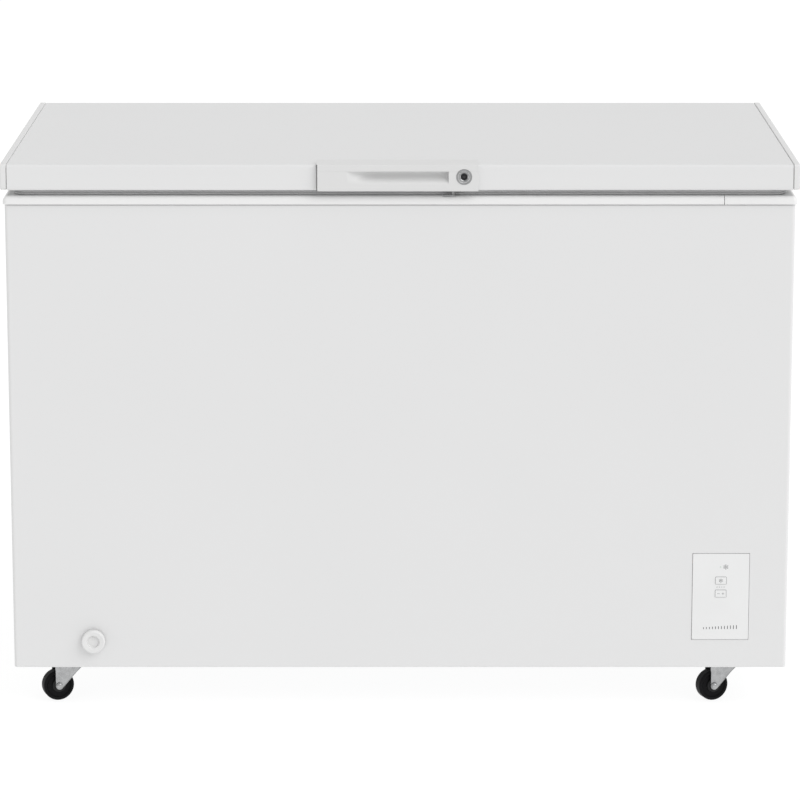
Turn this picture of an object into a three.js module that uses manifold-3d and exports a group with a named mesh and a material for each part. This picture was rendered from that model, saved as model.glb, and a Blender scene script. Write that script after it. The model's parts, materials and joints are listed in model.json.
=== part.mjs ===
// Chest freezer on four swivel casters, with a hinged lid, a key lock, a pull-out drain and a basket.
// Millimetres, +Z up, -Y is the front. The origin is at the middle of the footprint, on the floor.

import * as THREE from 'three';
import { mergeVertices } from 'three/addons/utils/BufferGeometryUtils.js';
import Module from 'manifold-3d';

const wasm = await Module();
wasm.setup();

// Driving dimensions.
const GAP = 0.3; // clearance between pieces that touch
const SHEET = 1; // painted steel sheet
const BODY = { half: 610, front: -345, rear: 340, bottom: 67, top: 808, corner: 5 };
const SKIN_REAR = 338; // rear edge of the front and side sheet
const TUB = { half: 550, front: -285, rear: 280, floor: 132, corner: 30, wall: 1.5 };
const STEP = { x: 330, z: 322 }; // raised floor over the compressor
const TUBE_SPACE = 8; // room between a skin and the foam, where the tubes lie
const BAY = { x: 382, top: 272 }; // compressor bay, to the right of x and below top
const COLLAR = { half: 613, front: -348, rear: 342, bottom: 808.3, top: 821.5, corner: 7, wall: 2.5 };
const COLLAR_SEAM = { x: 500, y: -235 }; // the corner trim covers the corner beyond these
const LEDGE = { bottom: 792, top: 796, reach: 12 }; // the basket hangs on it
const LID = { half: 605, front: -350, rear: 345, bottom: 832, top: 870, bend: 4 };
const CAP = { outer: 616, proud: 1.5, front: -350.8, rear: 345.8, bottom: 831.4, bend: 5.5, wall: 2.5 };
const LID_TRAY = { half: 520, front: -255, rear: 250, bottom: 816, wall: 1.5 };
const GASKET = { outer: 598, front: -334, rear: 327, bottom: 821.8, top: 832, width: 22 };
const HANDLE = { left: -129, right: 120.6, bottom: 830.4, face: -357.2, top: 875.6, back: -328 };
const GRIP = { left: -83, right: 75, bottom: 842.3, top: 861, back: -332, wall: 2.5 };
const LOCK = { x: 98.6, z: 852.9, ring: 12.3, barrel: 8.9, front: -358, back: -342.3 };
const CAM = { reach: 28.5, width: 7, toe: 12, toeWidth: 3, front: -342, back: -339.6 };
const LOCK_POCKET = { left: 64, right: 134, front: -349, back: -336 };
const HINGE = { y: 352, z: 830, barrel: 6, pin: 3, x: 430, cheek: 26 };
const PANEL = { left: 460.5, right: 549.6, bottom: 113, top: 252.7, face: -346, back: -341, seam: 0.5 };
const BUTTON = { left: 496.6, right: 513.6, bottoms: [203.5, 182.3], height: 11.4, face: -346.9 };
const DRAIN = { x: -484, z: 111.2, cap: 18.5, tube: 9.5, plugY: -235 };
const CASTER = { x: 522, front: -285, rear: 280, yaw: 20, trail: 26 };
const WHEEL = { radius: 25, width: 18, facets: 24 };
const WHEEL_Z = WHEEL.radius * Math.cos(Math.PI / WHEEL.facets); // a facet lies flat on the floor
const BASKET = { left: 270, right: 530, front: -262, back: 257, bottom: 575, rim: 799.6, bar: 3, wall: 1.5 };
const VENT = { front: -130, rear: 130, bottom: 95, top: 245 };
const REAR_VENT = { left: 395, right: 592, bottom: 84, top: 262, border: 16 };
const DRIER = { x: 402, y: 110 };
const COMPRESSOR = { x: 497, y: 190, radius: 72, foot: 84.2, base: 92, top: 232 };

// Solids. Each helper gives a manifold.
function solid(geometry) {
  const bare = geometry.clone();
  bare.deleteAttribute('normal');
  bare.deleteAttribute('uv');
  const merged = mergeVertices(bare, 1e-4);
  return new wasm.Manifold(new wasm.Mesh({
    numProp: 3,
    vertProperties: new Float32Array(merged.attributes.position.array),
    triVerts: new Uint32Array(merged.index.array),
  }));
}

function block(x0, x1, y0, y1, z0, z1) {
  const box = new THREE.BoxGeometry(x1 - x0, y1 - y0, z1 - z0);
  return solid(box.translate((x0 + x1) / 2, (y0 + y1) / 2, (z0 + z1) / 2));
}

// Each drawing plane's two directions, and the direction that an outline is pushed in.
const PLANES = {
  xy: [[1, 0, 0], [0, 1, 0], [0, 0, 1]],
  xz: [[1, 0, 0], [0, 0, 1], [0, -1, 0]],
  yz: [[0, 1, 0], [0, 0, 1], [1, 0, 0]],
};

// A flat outline drawn in a plane and pushed from low to high along that plane's normal axis.
function extrude(shape, plane, low, high, curveSegments = 3) {
  const geometry = new THREE.ExtrudeGeometry(shape, { depth: high - low, bevelEnabled: false, curveSegments });
  const axes = PLANES[plane].map((axis) => new THREE.Vector3(...axis));
  const start = plane === 'xz' ? -high : low; // that plane's outline is pushed towards -Y
  geometry.translate(0, 0, start).applyMatrix4(new THREE.Matrix4().makeBasis(...axes));
  return solid(geometry);
}

function roundedRect(x0, x1, y0, y1, radius) {
  const shape = new THREE.Shape();
  shape.absarc(x1 - radius, y0 + radius, radius, -Math.PI / 2, 0);
  shape.absarc(x1 - radius, y1 - radius, radius, 0, Math.PI / 2);
  shape.absarc(x0 + radius, y1 - radius, radius, Math.PI / 2, Math.PI);
  shape.absarc(x0 + radius, y0 + radius, radius, Math.PI, Math.PI * 1.5);
  shape.closePath();
  return shape;
}

function polygon(points) {
  return new THREE.Shape(points.map(([x, y]) => new THREE.Vector2(x, y)));
}

// A round bar along one axis, from low to high; the centre gives the other two coordinates.
function rod(axis, centre, radius, low, high, sides = 16) {
  const geometry = new THREE.CylinderGeometry(radius, radius, high - low, sides);
  const middle = (low + high) / 2;
  if (axis === 'x') geometry.rotateZ(Math.PI / 2).translate(middle, centre[0], centre[1]);
  if (axis === 'y') geometry.translate(centre[0], middle, centre[1]);
  if (axis === 'z') geometry.rotateX(Math.PI / 2).translate(centre[0], centre[1], middle);
  return solid(geometry);
}

// A turned piece: the profile lists [radius, height] from the axis and back to it.
function turned(profile, axis, centre, sides = 20) {
  const geometry = new THREE.LatheGeometry(profile.map(([r, h]) => new THREE.Vector2(r, h)), sides);
  if (axis === 'z') geometry.rotateX(Math.PI / 2).translate(centre[0], centre[1], 0);
  if (axis === 'y') geometry.translate(centre[0], 0, centre[1]);
  if (axis === 'x') geometry.rotateZ(-Math.PI / 2).translate(0, centre[0], centre[1]);
  return solid(geometry);
}

function join(pieces) {
  return pieces.reduce((whole, piece) => whole.add(piece));
}

function cut(whole, ...tools) {
  return tools.reduce((rest, tool) => rest.subtract(tool), whole);
}

// A path that visits its points one by one, so that a swept section turns only where the path bends.
class Route extends THREE.Curve {
  constructor(points) {
    super();
    this.points = points;
  }

  getPointAt(u) {
    return this.points[Math.round(u * (this.points.length - 1))].clone();
  }

  getTangentAt(u) {
    const last = this.points.length - 1;
    const i = Math.round(u * last);
    return this.points[Math.min(i + 1, last)].clone().sub(this.points[Math.max(i - 1, 0)]).normalize();
  }
}

// A bent pipe through the given corners, with an eased bend at each.
function pipe(corners, radius, bend, sides = 6, bendSteps = 3) {
  const points = corners.map((corner) => new THREE.Vector3(...corner));
  const path = [points[0]];
  for (let i = 1; i < points.length - 1; i += 1) {
    const start = points[i].clone().addScaledVector(points[i - 1].clone().sub(points[i]).normalize(), bend);
    const end = points[i].clone().addScaledVector(points[i + 1].clone().sub(points[i]).normalize(), bend);
    path.push(...new THREE.QuadraticBezierCurve3(start, points[i], end).getPoints(bendSteps));
  }
  path.push(points[points.length - 1]);
  const corner = (i) => new THREE.Vector2(
    radius * Math.cos((i / sides) * Math.PI * 2), radius * Math.sin((i / sides) * Math.PI * 2),
  );
  const section = new THREE.Shape(Array.from({ length: sides }, (_, i) => corner(i)));
  const options = { extrudePath: new Route(path), steps: path.length - 1, bevelEnabled: false };
  return solid(new THREE.ExtrudeGeometry(section, options));
}

// Finishes.
const finish = (color, roughness, metalness = 0) => new THREE.MeshStandardMaterial({ color, roughness, metalness });
const whitePaint = () => finish(0xe9eaea, 0.38);
const whitePlastic = () => finish(0xececea, 0.42);
const greyPlastic = () => finish(0xb9bbbd, 0.5);
const paleFoam = () => finish(0xe6dcb8, 0.95);
const zincSteel = () => finish(0xc3c6c9, 0.35, 1);
const copper = () => finish(0xb87045, 0.35, 1);
const blackPaint = () => finish(0x1c1d1f, 0.5);
const blackRubber = () => finish(0x17181a, 0.7);
const coatedWire = () => finish(0xe4e6e8, 0.4);
const boardGreen = () => finish(0x2c6a3c, 0.6);

const freezer = new THREE.Group();

function place(name, shape, material, parent = freezer) {
  const mesh = shape.getMesh();
  const geometry = new THREE.BufferGeometry();
  geometry.setAttribute('position', new THREE.BufferAttribute(new Float32Array(mesh.vertProperties), 3));
  geometry.setIndex(new THREE.BufferAttribute(new Uint32Array(mesh.triVerts), 1));
  geometry.computeVertexNormals();
  const part = new THREE.Mesh(geometry, material);
  part.name = name;
  parent.add(part);
}

// Cabinet: outer sheets.
function outerWrapper() {
  const beyond = 60;
  const outer = extrude(
    roundedRect(-BODY.half, BODY.half, BODY.front, BODY.rear + beyond, BODY.corner), 'xy', BODY.bottom, BODY.top,
  );
  const inner = extrude(
    roundedRect(-BODY.half + SHEET, BODY.half - SHEET, BODY.front + SHEET, BODY.rear + 2 * beyond,
      BODY.corner - SHEET),
    'xy', BODY.bottom - 1, BODY.top + 1,
  );
  const behind = block(-700, 700, SKIN_REAR, BODY.rear + 3 * beyond, 0, 900);
  const panelHole = block(
    PANEL.left - PANEL.seam, PANEL.right + PANEL.seam, BODY.front - 5, BODY.front + 5,
    PANEL.bottom - PANEL.seam, PANEL.top + PANEL.seam,
  );
  const drainHole = rod('y', [DRAIN.x, DRAIN.z], DRAIN.tube + 3.6, BODY.front - 5, BODY.front + 5);
  const ventHole = block(
    BODY.half - 5, BODY.half + 5, VENT.front + 15, VENT.rear - 15, VENT.bottom + 15, VENT.top - 15,
  );
  return cut(outer, inner, behind, panelHole, drainHole, ventHole);
}

// A cover plate with a row of level slots through it. u runs along the plate, v upwards.
function louvredPlate(u0, u1, v0, v1, border, slots, plane, low, high) {
  const plate = polygon([[u0, v0], [u1, v0], [u1, v1], [u0, v1]]);
  const pitch = (v1 - v0 - 2 * border) / slots;
  for (let i = 0; i < slots; i += 1) {
    const bottom = v0 + border + pitch * (i + 0.25);
    const slot = [[u0 + border, bottom], [u1 - border, bottom],
      [u1 - border, bottom + pitch / 2], [u0 + border, bottom + pitch / 2]];
    plate.holes.push(new THREE.Path(slot.map(([u, v]) => new THREE.Vector2(u, v))));
  }
  return extrude(plate, plane, low, high);
}

place('outer_wrapper', outerWrapper(), whitePaint());
place('rear_panel', cut(
  block(-BODY.half, BODY.half, SKIN_REAR + GAP, BODY.rear, BODY.bottom, BODY.top),
  block(REAR_VENT.left + 12, REAR_VENT.right - 12, 330, 350, REAR_VENT.bottom + 12, REAR_VENT.top - 12),
), whitePaint());
place('base_pan', block(
  -BODY.half + SHEET + GAP + 4, BODY.half - SHEET - GAP - 4, BODY.front + SHEET + GAP + 4, SKIN_REAR,
  BODY.bottom + GAP, BODY.bottom + GAP + 1.5,
), zincSteel());
place('side_vent_grille', louvredPlate(
  VENT.front, VENT.rear, VENT.bottom, VENT.top, 14, 8, 'yz', BODY.half + GAP, BODY.half + 2.8,
), whitePlastic());
place('rear_vent_cover', louvredPlate(
  REAR_VENT.left, REAR_VENT.right, REAR_VENT.bottom, REAR_VENT.top, REAR_VENT.border, 9, 'xz',
  BODY.rear + GAP, BODY.rear + 3,
), zincSteel());

// Tub, collar and foam.
function tubSolid(grow, top) {
  const { half, front, rear, floor, corner } = TUB;
  const deep = roundedRect(-half - grow, STEP.x + grow, front - grow, rear + grow, corner + grow);
  const whole = roundedRect(-half - grow, half + grow, front - grow, rear + grow, corner + grow);
  return join([
    extrude(deep, 'xy', floor - grow, STEP.z + 60),
    extrude(whole, 'xy', STEP.z - grow, top),
  ]);
}

function innerLiner() {
  const flangeZ = BODY.top - 2.2;
  const flange = extrude(
    roundedRect(-TUB.half - 24, TUB.half + 24, TUB.front - 24, TUB.rear + 24, TUB.corner + 20),
    'xy', flangeZ, flangeZ + TUB.wall,
  );
  const drainHole = rod('z', [DRAIN.x, DRAIN.plugY], 12, TUB.floor - 10, TUB.floor + 10);
  return cut(tubSolid(TUB.wall, flangeZ + TUB.wall).add(flange), tubSolid(0, 900), drainHole);
}

function collarRing() {
  const { half, front, rear, bottom, top, corner, wall } = COLLAR;
  const mouth = 2; // the collar's inner skirt stands this far inside the tub's wall
  const ring = extrude(roundedRect(-half, half, front, rear, corner), 'xy', bottom, top);
  const under = extrude(
    roundedRect(-half + wall, half - wall, front + wall, rear - wall, corner - wall), 'xy', bottom - 1, top - wall,
  );
  const skirt = extrude(
    roundedRect(-TUB.half + GAP, TUB.half - GAP, TUB.front + GAP, TUB.rear - GAP, TUB.corner - GAP),
    'xy', LEDGE.bottom, top,
  );
  const openX = TUB.half - mouth;
  const opening = extrude(
    roundedRect(-openX, openX, TUB.front + mouth, TUB.rear - mouth, TUB.corner - mouth), 'xy', 700, 900,
  );
  const ledgeSpace = block(
    -TUB.half + 20, TUB.half - 20, TUB.front + LEDGE.reach, TUB.rear - LEDGE.reach, 700, 900,
  );
  const aboveLedge = extrude(
    roundedRect(-openX, openX, TUB.front + mouth, TUB.rear - mouth, TUB.corner - mouth), 'xy', LEDGE.top, 900,
  );
  const shelf = cut(skirt, ledgeSpace, aboveLedge).intersect(
    block(-TUB.half + 20, TUB.half - 20, TUB.front, TUB.rear, LEDGE.bottom, LEDGE.top),
  );
  return cut(ring, under).add(skirt).subtract(opening).add(shelf);
}

function cornerRegion(shift) {
  return block(COLLAR_SEAM.x + shift, 700, -400, COLLAR_SEAM.y - shift, COLLAR.bottom - 1, COLLAR.top + 1);
}

function cornerTrim() {
  const inner = block(0, 700, TUB.front - 8, 0, 700, 900).intersect(block(0, TUB.half + 8, -400, 0, 700, 900));
  return collarRing().intersect(cornerRegion(GAP)).subtract(inner);
}

function cabinetFoam() {
  const grow = TUB.wall + TUBE_SPACE + GAP;
  const inset = SHEET + TUBE_SPACE;
  const top = BODY.top - 2.8;
  return cut(
    block(-BODY.half + inset, BODY.half - inset, BODY.front + inset, BODY.rear - 10, BODY.bottom + 2.2, top),
    tubSolid(grow, 900),
    block(BAY.x - 2, 700, -400, 400, 0, BAY.top + 2),
    rod('y', [DRAIN.x, DRAIN.z], DRAIN.tube + 5, -400, DRAIN.plugY + 20),
    block(DRAIN.x - 16, DRAIN.x + 16, DRAIN.plugY - 16, DRAIN.plugY + 16, DRAIN.z - 15, 200),
  );
}

const cornerCut = cut(cornerRegion(0), block(0, TUB.half + 8, TUB.front - 8, 0, 700, 900));
place('inner_liner', innerLiner(), whitePlastic());
place('collar_trim', collarRing().subtract(cornerCut), whitePlastic());
place('collar_corner_trim', cornerTrim(), whitePlastic());
place('cabinet_foam', cabinetFoam(), paleFoam());
place('bay_bulkhead', cut(
  block(BAY.x - 1, BODY.half - 12, BODY.front + 12, BODY.rear - 12, BODY.bottom + 2.4, BAY.top + 1),
  block(BAY.x, 700, -400, 400, 0, BAY.top),
), zincSteel());

// Refrigerant circuit.
function evaporatorRoute() {
  const turns = 5;
  const reach = TUB.wall + TUBE_SPACE / 2 + 0.2;
  const x = TUB.half + reach;
  const front = TUB.front - reach;
  const rear = TUB.rear + reach;
  const corners = [[-60, front, 380]];
  for (let turn = 0; turn < turns; turn += 1) {
    const z = 380 + turn * 80;
    corners.push([-x, front, z], [-x, rear, z], [x, rear, z], [x, front, z + 80]);
  }
  corners.push([200, front, 380 + turns * 80]);
  return corners;
}

function condenserRoute() {
  const runs = 7;
  const y = BODY.front + SHEET + TUBE_SPACE / 2;
  const corners = [];
  for (let run = 0; run < runs; run += 1) {
    const z = 180 + run * 90;
    const ends = [[-560, y, z], [290, y, z]];
    corners.push(...(run % 2 ? ends : ends.reverse()));
  }
  return corners;
}

place('evaporator_tube', pipe(evaporatorRoute(), 2.4, 38), copper());
place('condenser_tube', pipe(condenserRoute(), 2.4, 30), copper());

const { x: motorX, y: motorY, radius: motorR } = COMPRESSOR;
place('compressor_tray', block(396, 598, 90, 300, 69.1, 71.6), zincSteel());
place('compressor_mount', cut(
  block(motorX - 80, motorX + 80, 128, 252, 71.9, COMPRESSOR.foot - GAP),
  block(motorX - 56, motorX + 56, 152, 228, 70, 90),
), blackRubber());
place('compressor_shell', turned(
  [[0, COMPRESSOR.base], [58, COMPRESSOR.base], [motorR, 108], [motorR, 150], [motorR - 1, 190], [50, 222],
    [0, COMPRESSOR.top]],
  'z', [motorX, motorY],
).add(block(motorX - 82, motorX + 82, 130, 250, COMPRESSOR.foot, COMPRESSOR.base + 1)), blackPaint());
place('start_relay_box', block(motorX - 108, motorX - motorR - 1, 165, 215, 118, 172), blackPaint());
place('filter_drier', turned(
  [[0, 112], [3, 112], [9, 124], [9, 196], [3, 208], [0, 208]], 'z', [DRIER.x, DRIER.y], 16,
), copper());
place('discharge_pipe', pipe(
  [[530, 128, 130], [530, 74, 130], [DRIER.x, 74, 130], [DRIER.x, 74, 98], [DRIER.x, DRIER.y, 98],
    [DRIER.x, DRIER.y, 111.6]], 3, 10,
).subtract(rod('z', [motorX, motorY], motorR + 1.5, 80, 240)), copper());
place('suction_pipe', pipe(
  [[460, 136, 160], [460, 50, 160], [460, 50, 258], [BAY.x + 2, 50, 258]], 3.5, 12,
).subtract(rod('z', [motorX, motorY], motorR + 1.5, 80, 240)), copper());
place('power_cord_gland', turned(
  [[0, BODY.rear + GAP], [13, BODY.rear + GAP], [13, BODY.rear + 4], [9, BODY.rear + 5], [7, BODY.rear + 15],
    [0, BODY.rear + 15]],
  'y', [285, 150], 16,
), blackRubber());

// Control panel on the front, with two push buttons, and its board behind it.
function panelBezel() {
  const plate = block(PANEL.left, PANEL.right, PANEL.face, PANEL.back, PANEL.bottom, PANEL.top);
  const holes = BUTTON.bottoms.map((bottom) => block(
    BUTTON.left - GAP, BUTTON.right + GAP, -360, -330, bottom - GAP, bottom + BUTTON.height + GAP,
  ));
  return cut(plate, ...holes);
}

place('control_panel_bezel', panelBezel(), whitePlastic());
['mode_button', 'temp_button'].forEach((name, i) => {
  const bottom = BUTTON.bottoms[i];
  place(name, block(
    BUTTON.left, BUTTON.right, BUTTON.face, PANEL.back, bottom, bottom + BUTTON.height,
  ), whitePlastic());
});
place('control_board', block(
  PANEL.left + 6, PANEL.right - 6, -337, -335.4, PANEL.bottom + 8, PANEL.top - 8,
), boardGreen());
place('temperature_sensor', rod('y', [TUB.half - 3, 700], 2.4, 190, 235, 12), greyPlastic());

// Drain: a tube from the tub's floor to the front, a spout that pulls out, its knob, and a plug in the floor.
function drainTube() {
  const { x, z, tube, plugY } = DRAIN;
  const bore = tube - 0.2;
  const outside = rod('y', [x, z], tube + 3, BODY.front + 2, plugY + 14).add(
    rod('z', [x, plugY], 13.5, z - 4, TUB.floor - TUB.wall - GAP),
  );
  return cut(outside, rod('y', [x, z], bore, -400, plugY), rod('z', [x, plugY], 10, z, 200));
}

place('drain_tube', drainTube(), whitePlastic());
place('drain_housing', turned(
  [[DRAIN.tube, BODY.front + 1.6], [DRAIN.tube, BODY.front - 1.6], [15.5, BODY.front - 1.6],
    [15.5, BODY.front - GAP], [12.8, BODY.front - GAP], [12.8, BODY.front + 1.6], [DRAIN.tube, BODY.front + 1.6]],
  'y', [DRAIN.x, DRAIN.z],
), whitePlastic());
place('drain_spout', cut(
  rod('y', [DRAIN.x, DRAIN.z], 8.9, -348.6, -296),
  rod('y', [DRAIN.x, DRAIN.z], 6.9, -346.4, -290),
  block(DRAIN.x - 5, DRAIN.x + 5, -340, -325, DRAIN.z - 12, DRAIN.z),
), whitePlastic());
place('drain_cap', turned(
  [[0, -351.5], [9.5, -351.5], [9.5, -354.5], [16.5, -356.6], [DRAIN.cap, -354.6], [DRAIN.cap, -347.2],
    [16, -347.2], [16, -349.2], [0, -349.2]],
  'y', [DRAIN.x, DRAIN.z],
), whitePlastic());
place('drain_plug', turned(
  [[0, TUB.floor - 4], [9, TUB.floor - 4], [9.6, TUB.floor + GAP], [16, TUB.floor + GAP], [16, TUB.floor + 3],
    [5, TUB.floor + 4], [5, TUB.floor + 11], [0, TUB.floor + 11]],
  'z', [DRAIN.x, DRAIN.plugY],
), greyPlastic());

// Lid: folded sheet panel, plastic end caps, foam, inner tray and gasket.
function lidOutline(front, rear, bottom, top, bend) {
  const outline = new THREE.Shape();
  outline.moveTo(front, bottom);
  outline.lineTo(rear, bottom);
  outline.absarc(rear - bend, top - bend, bend, 0, Math.PI / 2);
  outline.absarc(front + bend, top - bend, bend, Math.PI / 2, Math.PI);
  outline.closePath();
  return outline;
}

// The front edge is notched from below where the handle's cup and the lock pass through, behind the handle.
function lidSkin() {
  const { half, front, rear, bottom, top, bend } = LID;
  const clear = 3;
  const inside = lidOutline(front + SHEET, rear - SHEET, bottom - 5, top - SHEET, bend - SHEET);
  return cut(
    extrude(lidOutline(front, rear, bottom, top, bend), 'yz', -half, half),
    extrude(inside, 'yz', -half - 1, half + 1),
    block(GRIP.left - clear, LOCK.x + LOCK.barrel + clear, -370, GRIP.back, bottom - 1, GRIP.top + clear),
  );
}

function gripPocket(grow) {
  return block(
    GRIP.left - grow, GRIP.right + grow, -370, GRIP.back + grow, GRIP.bottom - grow, GRIP.top + grow,
  );
}

function endCap(side) {
  const { outer, proud, front, rear, bottom, bend, wall } = CAP;
  const inner = LID.half + GAP;
  const top = LID.top + proud;
  const low = side > 0 ? inner : -outer;
  const shell = extrude(lidOutline(front, rear, bottom, top, bend), 'yz', low, low + outer - inner);
  const hollowLow = side > 0 ? inner - 1 : -outer + wall;
  return shell.subtract(extrude(
    lidOutline(front + wall, rear - wall, bottom + wall, top - wall, bend - wall), 'yz',
    hollowLow, hollowLow + outer - inner - wall + 1,
  ));
}

function lockPocket() {
  const { left, right, front, back } = LOCK_POCKET;
  return block(left, right, front, back, 800, LID.top - 2);
}

function lidFoam() {
  const inset = SHEET + GAP;
  const { half, front, rear, bottom, wall } = LID_TRAY;
  const clear = wall + GAP;
  return cut(
    block(-LID.half, LID.half, LID.front + inset, LID.rear - inset, LID.bottom + 2.1, LID.top - 2 * inset).add(
      extrude(roundedRect(-half + clear, half - clear, front + clear, rear - clear, 27), 'xy',
        bottom + clear, LID.bottom + 3),
    ),
    block(-700, 700, LID.front, LID.front + 7, LID.top - 8, LID.top),
    block(-700, 700, LID.rear - 7, LID.rear, LID.top - 8, LID.top),
    gripPocket(3.3), lockPocket(),
  );
}

function lidLiner() {
  const inset = SHEET + GAP;
  const { half, front, rear, bottom, wall } = LID_TRAY;
  const plateTop = LID.bottom + GAP + wall;
  const tray = extrude(roundedRect(-half, half, front, rear, 30), 'xy', bottom, plateTop);
  const hollow = extrude(
    roundedRect(-half + wall, half - wall, front + wall, rear - wall, 28), 'xy', bottom + wall, 900,
  );
  const plate = block(-LID.half + 1, LID.half - 1, LID.front + inset, LID.rear - inset, LID.bottom + GAP, plateTop);
  return cut(plate.add(tray), hollow, lockPocket());
}

place('lid_skin', lidSkin(), whitePaint());
place('lid_end_cap_left', endCap(-1), whitePlastic());
place('lid_end_cap_right', endCap(1), whitePlastic());
place('lid_foam', lidFoam(), paleFoam());
place('lid_liner', lidLiner(), whitePlastic());
place('lid_gasket', cut(
  extrude(roundedRect(-GASKET.outer, GASKET.outer, GASKET.front, GASKET.rear, 20), 'xy', GASKET.bottom, GASKET.top),
  extrude(roundedRect(
    -GASKET.outer + GASKET.width, GASKET.outer - GASKET.width, GASKET.front + GASKET.width,
    GASKET.rear - GASKET.width, 12,
  ), 'xy', 800, 900),
), greyPlastic());

// Handle on the lid's front edge, with its finger grip, and the key lock beside the grip.
function lidHandle() {
  const { left, right, bottom, face, top, back } = HANDLE;
  const under = LID.top + GAP;
  const behind = LID.front - GAP;
  const bezel = extrude(polygon([
    [behind, bottom], [face + 1.5, bottom], [face, bottom + 1.5], [face, LID.top + 0.4], [face + 1, LID.top + 1.4],
    [back - 2, top], [back, top - 0.8], [back, under], [behind, under],
  ]), 'yz', left, right);
  const cup = block(
    GRIP.left - GRIP.wall, GRIP.right + GRIP.wall, behind - 1, GRIP.back + GRIP.wall,
    GRIP.bottom - GRIP.wall, GRIP.top + GRIP.wall,
  );
  return cut(
    bezel.add(cup),
    block(GRIP.left, GRIP.right, -370, GRIP.back, GRIP.bottom, GRIP.top),
    rod('y', [LOCK.x, LOCK.z], LOCK.ring + GAP, -370, -340),
  );
}

place('lid_handle', lidHandle(), whitePlastic());
const ringInner = LOCK.barrel + 0.35;
place('lock_escutcheon', turned(
  [[ringInner, LID.front - 0.5], [ringInner, LOCK.front + 0.8], [LOCK.ring - 1.5, LOCK.front],
    [LOCK.ring, LOCK.front + 1], [LOCK.ring, LID.front - 0.5], [ringInner, LID.front - 0.5]],
  'y', [LOCK.x, LOCK.z], 24,
), zincSteel());
place('lock_cylinder', cut(
  rod('y', [LOCK.x, LOCK.z], LOCK.barrel, LOCK.front + 0.6, LOCK.back, 24),
  rod('y', [LOCK.x, LOCK.z], 2.6, -370, LOCK.front + 5, 10),
  block(LOCK.x - 0.9, LOCK.x + 0.9, -370, LOCK.front + 5, LOCK.z - 5, LOCK.z),
), zincSteel());

// The cam points to the right when unlocked; its toe leads as it turns down under the keeper's hook.
function lockCam() {
  const { reach, width, toe, toeWidth, front, back } = CAM;
  return join([
    rod('y', [LOCK.x, LOCK.z], 7.5, front, back, 20),
    block(LOCK.x, LOCK.x + reach, front, back, LOCK.z - width / 2, LOCK.z + width / 2),
    block(LOCK.x + reach - toeWidth, LOCK.x + reach, front, back, LOCK.z - toe, LOCK.z),
  ]);
}

function lockKeeper() {
  const hookRight = LOCK.x - 5;
  const base = COLLAR.top + GAP;
  return join([
    block(66, 84, -346, CAM.back + 2, base, base + 1.5),
    block(80, 84, -344.5, CAM.back + 1.5, base, base + 8.4),
    block(80, hookRight, -344.5, CAM.back + 1.5, base + 6.4, base + 8.4),
  ]);
}

place('lock_cam', lockCam(), zincSteel());
place('lock_keeper', lockKeeper(), zincSteel());

// Hinges at the rear: a cheeked bracket with its riveted pin, a torsion spring on the pin, and the lid's leaf.
function hingeBracket(x) {
  const { y, z, barrel, pin, cheek } = HINGE;
  const plate = block(x - cheek, x + cheek, COLLAR.rear + GAP, COLLAR.rear + 2.8, 740, z - 4);
  const cheeks = [-cheek, cheek - 3].map((start) => block(
    x + start, x + start + 3, COLLAR.rear + GAP, y, z - 40, z - 4,
  ).add(rod('x', [y, z], barrel, x + start, x + start + 3, 12)));
  return join([plate, ...cheeks, rod('x', [y, z], pin, x - cheek - 1, x + cheek + 1, 10)]).subtract(
    block(x - 60, x + 60, 340, COLLAR.rear + 4.2, z - 4, z + 20),
  );
}

function hingeLeaf(x) {
  const { y, z, barrel, pin } = HINGE;
  const plate = block(x - 18, x + 18, LID.rear + GAP, LID.rear + 2.6, z + 5, LID.top - 6);
  const knuckles = [-18, 10].map((start) => rod('x', [y, z], barrel, x + start, x + start + 8, 12).add(
    block(x + start, x + start + 8, LID.rear + 1.2, y, z + 2, z + barrel),
  ));
  return join([plate, ...knuckles]).subtract(rod('x', [y, z], pin + GAP, x - 60, x + 60, 10));
}

function torsionSpring(x) {
  const { y, z, pin } = HINGE;
  const coils = 5;
  const half = 9.5;
  const pitch = (2 * half) / coils;
  const inner = pin + 0.4;
  const profile = [[inner, x - half]];
  for (let i = 0; i < coils; i += 1) {
    profile.push([inner + 1, x - half + i * pitch], [inner + 2, x - half + (i + 0.5) * pitch]);
  }
  profile.push([inner + 1, x + half], [inner, x + half], [inner, x - half]);
  return turned(profile, 'x', [y, z], 8);
}

for (const [side, x] of [['left', -HINGE.x], ['right', HINGE.x]]) {
  place(`hinge_bracket_${side}`, hingeBracket(x), zincSteel());
  place(`hinge_spring_${side}`, torsionSpring(x), zincSteel());
  place(`hinge_leaf_${side}`, hingeLeaf(x), zincSteel());
}

// Basket, hung across the tub by its rim. Thin closed walls with the basket's outer shape stand for its fine mesh.
function wireBasket() {
  const { left, right, front, back, bottom, rim, bar, wall } = BASKET;
  const clear = 5; // gap from the rim's ends to the tub's wall
  return cut(
    block(left, right, front, back, bottom, rim).add(
      block(left, right, TUB.front + clear, TUB.rear - clear, rim - bar, rim),
    ),
    block(left + wall, right - wall, front + wall, back - wall, bottom + wall, rim + 1),
  );
}

place('basket', wireBasket(), coatedWire());

// Casters. In a caster's own frame its swivel axis is at the origin and the wheel trails towards -X.
function casterPlate() {
  return cut(
    block(-30, 30, -30, 30, BODY.bottom - GAP - 2.5, BODY.bottom - GAP).add(
      rod('z', [0, 0], 15, BODY.bottom - GAP - 5, BODY.bottom - GAP - 2),
    ),
    rod('z', [0, 0], 6.4, 50, 80, 12),
  );
}

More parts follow.
